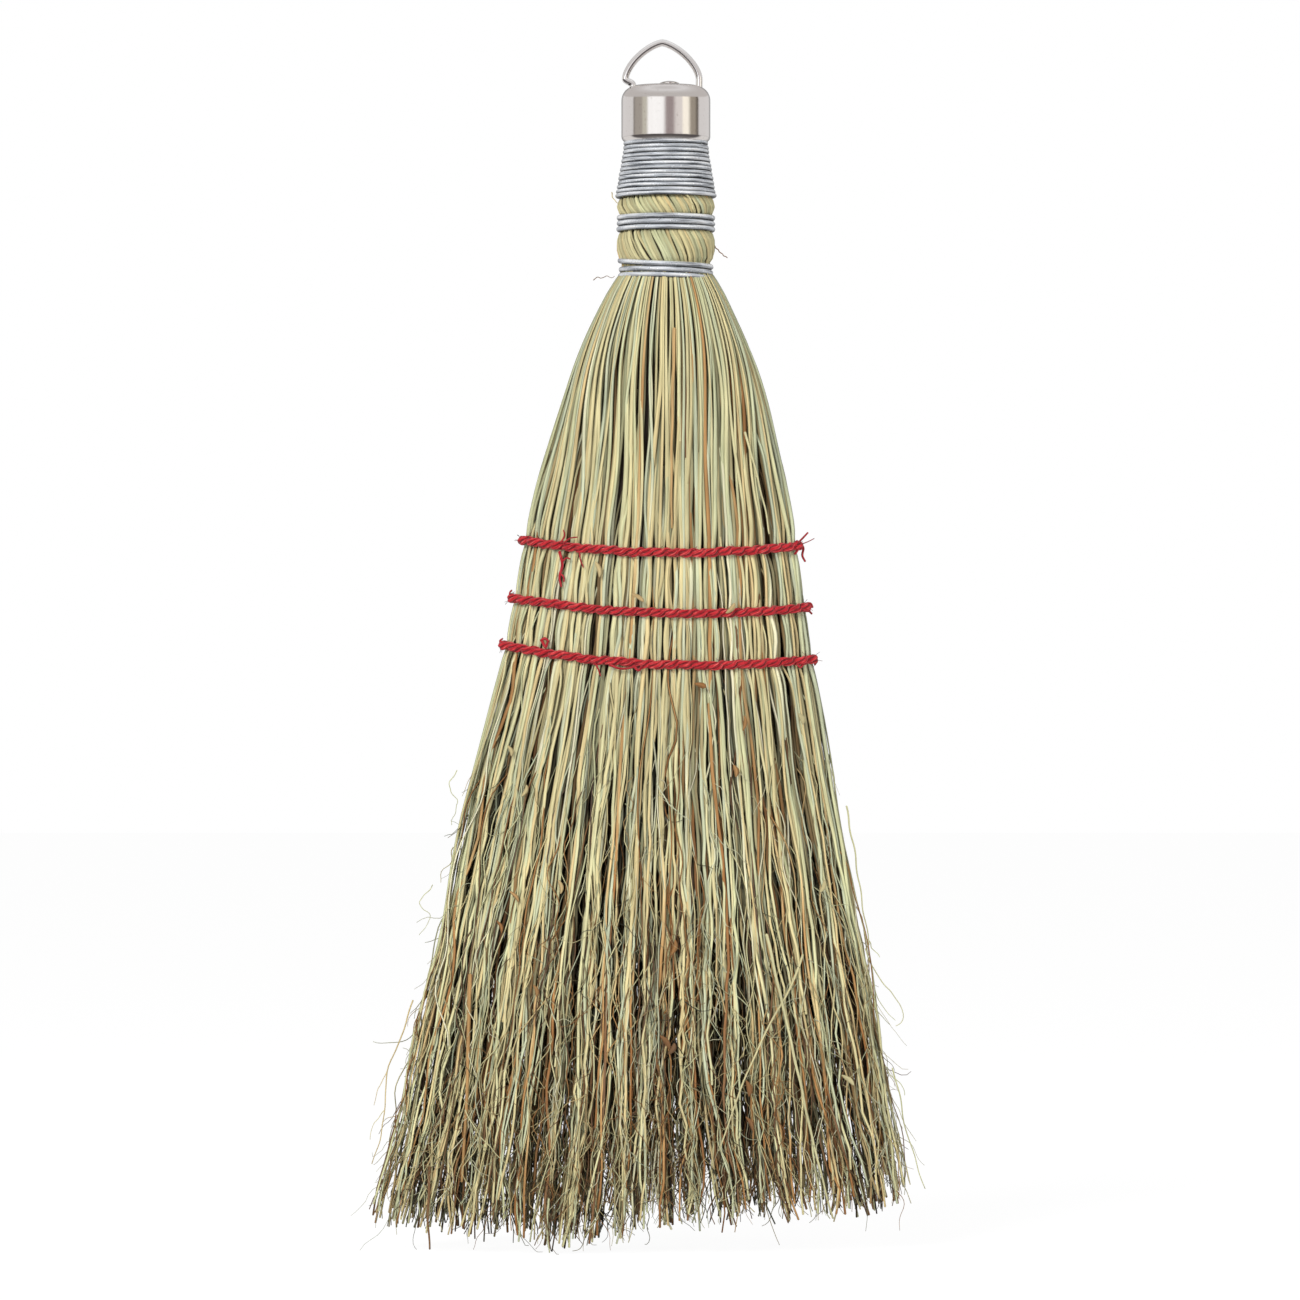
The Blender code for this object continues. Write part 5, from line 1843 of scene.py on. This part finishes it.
@dataclass
class Cap:
    """The drawn cap: a shallow dome, a round shoulder, a straight side and a lip curled in."""

    axis_x: float = NECK_X
    top: float = CAP_TOP
    rim: float = 0.2792
    radius: float = 0.0112
    shoulder: float = 0.0038
    curl: float = 0.0015
    wall: float = 0.0005
    dome: float = 0.0003
    lip_radius: float = 0.0094
    columns: int = 192
    slot_offset: float = 0.00885
    slot_half_x: float = 0.00152
    slot_half_y: float = 0.0025
    slot_sides: int = 28
    overrun: float = 0.002
    pole_radius: float = 0.0002
    arc_steps: int = 16
    curl_steps: int = 10
    flat_steps: int = 10
    side_steps: int = 14

    def profile(self) -> Array:
        """Radius and height down the outside and up the inside, with arcs at the shoulder and the curl.

        Returns:
            One point a row.
        """
        quarter = np.linspace(math.pi / 2, 0, self.arc_steps)
        curled = np.linspace(0, -math.pi / 2, self.curl_steps)
        shoulder_r, curl_r = self.radius - self.shoulder, self.radius - self.curl
        shoulder_z = self.top - self.dome - self.shoulder
        curl_z = self.rim + self.curl
        flat_r = np.linspace(self.pole_radius, shoulder_r, self.flat_steps)[:-1]
        side_z = np.linspace(shoulder_z, curl_z, self.side_steps)[1:-1]
        inner, inner_curl = self.shoulder - self.wall, self.curl - self.wall
        arcs = [
            (shoulder_r, shoulder_z, self.shoulder, quarter), (curl_r, curl_z, self.curl, curled),
            (curl_r, curl_z, inner_curl, curled[::-1]), (shoulder_r, shoulder_z, inner, quarter[::-1]),
        ]
        outer, lip, inside, under = (
            np.stack([r + size * np.cos(a), z + size * np.sin(a)], 1) for r, z, size, a in arcs)
        return np.concatenate([
            np.stack([flat_r, self.top - self.dome * (flat_r / shoulder_r) ** 2], 1), outer,
            np.stack([np.full_like(side_z, self.radius), side_z], 1), lip,
            np.array([[self.lip_radius, self.rim], [self.lip_radius, self.rim + self.wall]]),
            inside, under, np.array([[self.pole_radius, self.top - self.wall]]),
        ])

    def build(self, nickel: Material) -> None:
        """Turns the profile round the axis, and cuts the two slots that the ring passes through.

        Args:
            nickel: The finish.
        """
        shell = grid_surface(turned(self.profile(), self.axis_x, self.columns))
        piece = add_piece("cap_plate", shell, nickel)
        cutter = self.slot_cutter(nickel)
        cut = piece.modifiers.new("slots", "BOOLEAN")
        cut.operation, cut.solver, cut.object = "DIFFERENCE", "EXACT", cutter
        bpy.context.view_layer.update()
        shaped = bpy.data.meshes.new_from_object(piece.evaluated_get(bpy.context.evaluated_depsgraph_get()))
        piece.modifiers.clear()
        piece.data = shaped
        bpy.data.objects.remove(cutter)
        shaped.shade_smooth()
        shaped.set_sharp_from_angle(angle=SHARP_ANGLE)
        settle(piece, "broom", "nickel", "cap_shell")

    def slot_cutter(self, nickel: Material) -> bpy.types.Object:
        """Two upright oval plugs, one for each slot, which only cut and aren't kept.

        Args:
            nickel: The finish of the slots' walls.

        Returns:
            Both plugs as one object.
        """
        turn = -2 * math.pi * np.arange(self.slot_sides) / self.slot_sides
        rise = np.array([self.top + self.overrun, self.top - self.shoulder])
        plugs = []
        for side in (-1, 1):
            x = self.axis_x + side * self.slot_offset + self.slot_half_x * np.cos(turn)
            plugs.append(grid_surface(np.stack(np.broadcast_arrays(
                x, self.slot_half_y * np.sin(turn), rise[:, None]), -1)))
        return add_piece("slot_plugs", Surface.joined(plugs), nickel)


@dataclass
class CapNail:
    """The nail driven through the cap: a low domed head on a shank with a point."""

    x: float = 0.0057
    seat: float = 0.294154
    head_radius: float = 0.0024
    head_height: float = 0.0006
    shank_radius: float = 0.0010
    length: float = 0.0130
    point: float = 0.0018
    tip_radius: float = 0.00005
    dome: float = 0.8
    dome_steps: int = 9
    columns: int = 48

    def build(self, nickel: Material) -> None:
        """Turns the nail's profile: a dome by the square of the radius, then down the shank to its point.

        Args:
            nickel: The finish.
        """
        share = np.linspace(MAP_END, 1, self.dome_steps)
        dome = self.head_height * (1 - self.dome * share**2)
        head = np.stack([self.head_radius * share, self.seat + dome], 1)
        rest = np.array([
            [self.head_radius, self.seat], [self.shank_radius, self.seat],
            [self.shank_radius, self.seat - self.length + self.point],
            [self.tip_radius, self.seat - self.length],
        ])
        profile = np.concatenate([head, rest])
        piece = add_piece("cap_nail_plate", grid_surface(turned(profile, self.x, self.columns)), nickel)
        piece.data.set_sharp_from_angle(angle=SHARP_ANGLE)
        settle(piece, "broom", "nickel", "cap_nail")


@dataclass
class HangRing:
    """The ring: wire arched over the cap, its two ends turned in under the shoulders."""

    axis_x: float = NECK_X
    pivot: float = CAP_TOP
    wire_radius: float = 0.000875
    half_width: float = 0.0093
    arch_height: float = 0.0091
    arch_rise: float = 0.0014
    side_power: float = 1.45
    top_power: float = 1.6
    pull: float = 0.0009
    hole_offset: float = 0.0084
    tail: float = 0.0031
    toe: float = 0.0024
    arch_steps: int = 25
    steps: int = 240
    sides: int = 20
    end_share: float = 0.05
    sharp_degrees: float = 50.0

    def route(self) -> Array:
        """The wire's middle: up from a toe, round the arch and down to the other toe.

        The arch's point is the half width times the cosine to two over the side's power, and the
        height times the sine to two over the top's power.

        Returns:
            The points, evenly spaced.
        """
        bend = self.wire_radius
        foot = np.array([
            (self.hole_offset - self.toe, -self.tail), (self.hole_offset - bend, -self.tail),
            (self.hole_offset - bend / 4, -self.tail + bend / 2),
            (self.hole_offset, -self.tail / 2), (self.hole_offset, 0),
        ])
        angle = np.linspace(0, math.pi, self.arch_steps)
        cos = np.cos(angle)
        arch = np.stack([
            self.half_width * np.sign(cos) * np.abs(cos) ** (2 / self.side_power) - self.pull,
            self.arch_rise + self.arch_height * np.sin(angle) ** (2 / self.top_power),
        ], 1)
        line = resampled(np.concatenate([foot, arch, foot[::-1] * (-1, 1)]), self.steps)
        return np.stack([self.axis_x + line[:, 0], np.zeros(self.steps), self.pivot + line[:, 1]], -1)

    def build(self, nickel: Material) -> None:
        """Sweeps the wire along its route.

        Args:
            nickel: The finish.
        """
        paths = self.route()[None]
        radii = np.full(paths.shape[:2], self.wire_radius)
        # A tone of one picks the brightest plate colour: painted light on the ring.
        made = Strands(
            paths, radii, -facing_front(paths), np.array([1.0]), np.array([1.0]), self.sides, 1.0,
            self.end_share, 1.0).surface()
        piece = add_piece("hang_ring_wire", made, nickel)
        piece.data.set_sharp_from_angle(angle=math.radians(self.sharp_degrees))
        settle(piece, "ring", "nickel", "hang_ring")


# Studio

@dataclass(frozen=True)
class Lamp:
    """A soft lamp: its angles in degrees to the camera's right and up, its sides, watts and colour."""

    name: str
    side: float
    rise: float
    size: Range
    power: float
    colour: Colour


@dataclass
class Studio:
    """The floor, the lamps, what the metal reflects, and the camera."""

    picture_pixels: int = 1300
    metres_a_pixel: float = 0.0002521
    centre: Range = (0.0008, 0.1513)
    camera_distance: float = 1.75
    sensor_mm: float = 36.0
    sky_light: float = 0.42
    panels: tuple[tuple[float, float, Colour], ...] = (
        (-180, -95, (0.78, 0.77, 0.77)),
        (-92, -91, (0.20, 0.18, 0.16)),
        (-87, -66, (0.42, 0.39, 0.35)),
        (-62, -51, (0.62, 0.60, 0.52)),
        (-47, -8, (1.20, 1.22, 1.23)),
        (2, 18, (0.38, 0.32, 0.32)),
        (26, 42, (0.86, 0.82, 0.80)),
        (46, 60, (1.20, 1.15, 1.02)),
        (68, 82, (0.38, 0.34, 0.28)),
        (88, 92, (0.14, 0.12, 0.10)),
        (96, 180, (0.78, 0.77, 0.77)),
    )
    heights: Stops = (
        (0.00, (0.30, 0.29, 0.28)),
        (0.20, (0.12, 0.11, 0.11)),
        (0.45, (0.10, 0.09, 0.09)),
        (0.50, (0.45, 0.44, 0.43)),
        (0.53, (0.66, 0.64, 0.63)),
        (0.62, (0.60, 0.58, 0.57)),
        (0.80, (0.60, 0.58, 0.57)),
        (0.89, (0.68, 0.67, 0.67)),
        (0.95, (0.82, 0.82, 0.83)),
        (1.00, (0.66, 0.65, 0.65)),
    )
    under: Colour = (0.80, 0.79, 0.78)
    under_span: Span = (0.0, -0.1, 0.0, 1.0)
    back_span: Span = (0.1, 0.3, 0.0, 1.0)
    behind: Span = (0.82, 0.97, 1.0, 0.4)
    band_middle: float = 0.09
    band_edge: Span = (0.12, 0.15, 1.0, 0.0)
    floor_size: float = 8.0
    floor_paint: Colour = (0.9, 0.9, 0.9)
    floor_glow: float = 1.08
    floor_glow_share: float = 0.86
    lamp_distance: float = 1.6
    lamps: tuple[Lamp, ...] = (
        Lamp("key_lamp", -30, 30, (0.6, 0.6), 20, (1.0, 0.99, 0.98)),
        Lamp("fill_lamp", 50, 10, (0.7, 1.0), 8, (1.0, 0.98, 0.96)),
    )

    def floor(self) -> None:
        """A pale floor, white to the camera wherever no shadow falls, that the metal doesn't mirror."""
        bpy.ops.mesh.primitive_plane_add(size=self.floor_size)
        plane = bpy.context.object
        plane.name = "studio_floor"
        made = bpy.data.materials.new("floor_paint")
        made.use_nodes = True
        graph = Graph(made.node_tree.nodes, made.node_tree.links)
        graph.nodes.remove(graph.nodes["Principled BSDF"])
        matt = graph.add("ShaderNodeBsdfDiffuse", Color=(*self.floor_paint, 1)).outputs["BSDF"]
        glow = graph.add("ShaderNodeEmission", Strength=self.floor_glow).outputs["Emission"]
        seen = graph.add("ShaderNodeLightPath").outputs["Is Camera Ray"]
        mix = graph.add("ShaderNodeMixShader", Fac=graph.math("MULTIPLY", seen, self.floor_glow_share))
        graph.put(mix.inputs[1], matt)
        graph.put(mix.inputs[2], glow)
        graph.put(graph.nodes["Material Output"].inputs["Surface"], mix.outputs["Shader"])
        plane.data.materials.append(made)
        plane.visible_glossy = False

    def world(self) -> None:
        """White to the camera, soft as light, and a studio of pale and dark panels to the metal.

        The panels stand round the horizon by their angle from the front; above and below them the
        reflected level depends on the height alone.
        """
        world = bpy.data.worlds.new("studio_world")
        bpy.context.scene.world = world
        world.use_nodes = True
        graph = Graph(world.node_tree.nodes, world.node_tree.links)
        way = graph.add("ShaderNodeSeparateXYZ", Vector=graph.add("ShaderNodeTexCoord").outputs["Generated"])
        ahead = graph.math("MULTIPLY", way.outputs["Y"], -1.0)
        side = graph.mapped(graph.math("ARCTAN2", way.outputs["X"], ahead), (-math.pi, math.pi, 0, 1))
        stops = [((edge + 180) / 360, colour) for low, high, colour in self.panels for edge in (low, high)]
        panels = graph.ramp(side, tuple(stops))
        rise = graph.mapped(way.outputs["Z"], (-1, 1, 0, 1))
        levels = graph.ramp(rise, self.heights)
        low = graph.mapped(way.outputs["Z"], self.under_span)
        back = graph.math("MULTIPLY", low, graph.mapped(way.outputs["Y"], self.back_span))
        levels = graph.blended(back, levels, (*self.under, 1))
        off = graph.math("ABSOLUTE", graph.math("SUBTRACT", way.outputs["Z"], self.band_middle), 0.0)
        within = graph.mapped(off, self.band_edge)
        mirrored = graph.blended(within, levels, panels)
        sight = graph.add("ShaderNodeLightPath")
        plain = graph.nodes["Background"]
        plain.inputs["Color"].default_value = (1, 1, 1, 1)
        level = graph.mapped(sight.outputs["Is Camera Ray"], (0, 1, self.sky_light, 1))
        graph.put(plain.inputs["Strength"], level)
        dimmed = graph.scaled(mirrored, graph.mapped(way.outputs["Y"], self.behind))
        studio = graph.add("ShaderNodeBackground", Color=dimmed)
        mix = graph.add("ShaderNodeMixShader", Fac=sight.outputs["Is Glossy Ray"])
        graph.put(mix.inputs[1], plain.outputs["Background"])
        graph.put(mix.inputs[2], studio.outputs["Background"])
        graph.put(graph.nodes["World Output"].inputs["Surface"], mix.outputs["Shader"])

    def hang(self, lamp: Lamp) -> None:
        """Hangs a lamp and aims it at the broom's middle.

        Args:
            lamp: Its place, size, power and colour.
        """
        light = bpy.data.lights.new(lamp.name, "AREA")
        light.shape = "RECTANGLE"
        light.size, light.size_y = lamp.size
        light.energy = lamp.power
        light.color = lamp.colour
        hung = bpy.data.objects.new(lamp.name, light)
        bpy.context.scene.collection.objects.link(hung)
        side, rise = math.radians(lamp.side), math.radians(lamp.rise)
        level = self.lamp_distance * math.cos(rise)
        hung.location = (
            self.centre[0] + level * math.sin(side), -level * math.cos(side),
            self.centre[1] + self.lamp_distance * math.sin(rise),
        )
        hung.rotation_euler = (math.pi / 2 - rise, 0, side)
        hung.visible_glossy = False

    def camera(self) -> None:
        """The photograph's view: level with the broom's middle and square to its front."""
        data = bpy.data.cameras.new("photo_camera")
        data.sensor_width = self.sensor_mm
        data.lens = self.sensor_mm * self.camera_distance / (self.picture_pixels * self.metres_a_pixel)
        camera = bpy.data.objects.new("photo_camera", data)
        bpy.context.scene.collection.objects.link(camera)
        camera.location = (self.centre[0], -self.camera_distance, self.centre[1])
        camera.rotation_euler = (math.pi / 2, 0, 0)
        bpy.context.scene.camera = camera

    def build(self) -> None:
        """Sets the whole studio up."""
        self.camera()
        self.floor()
        self.world()
        for lamp in self.lamps:
            self.hang(lamp)
        bpy.context.scene.view_settings.view_transform = "Standard"


def main() -> None:
    """Builds every sub-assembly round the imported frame, in order."""
    logging.basicConfig(level=logging.INFO, format="%(name)s %(message)s")
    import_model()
    Studio().build()
    straw = StrawFinish("dry_straw", roughness=0.55, specular=0.35).material()
    wire = WireFinish("galvanised_wire", roughness=0.20, metallic=0.5, specular=0.6).material()
    nickel = NickelFinish("nickel_plate", roughness=0.10, metallic=1.0).material()
    twine = TwineFinish("red_twine", roughness=0.75, specular=0.3).material()
    shape = HeadShape()
    StrawHead(shape).build(straw)
    Strays(shape).build(straw)
    Neck().build(straw)
    for binding in wire_bindings():
        binding.build(wire)
    for index, height in enumerate(("upper", "middle", "lower")):
        TwineRow(f"{height}_twine", index, shape, TWINE_SEED + index).build(twine)
    TwineEnds(shape).build(twine)
    Cap().build(nickel)
    CapNail().build(nickel)
    HangRing().build(nickel)


if __name__ == "__main__":
    main()
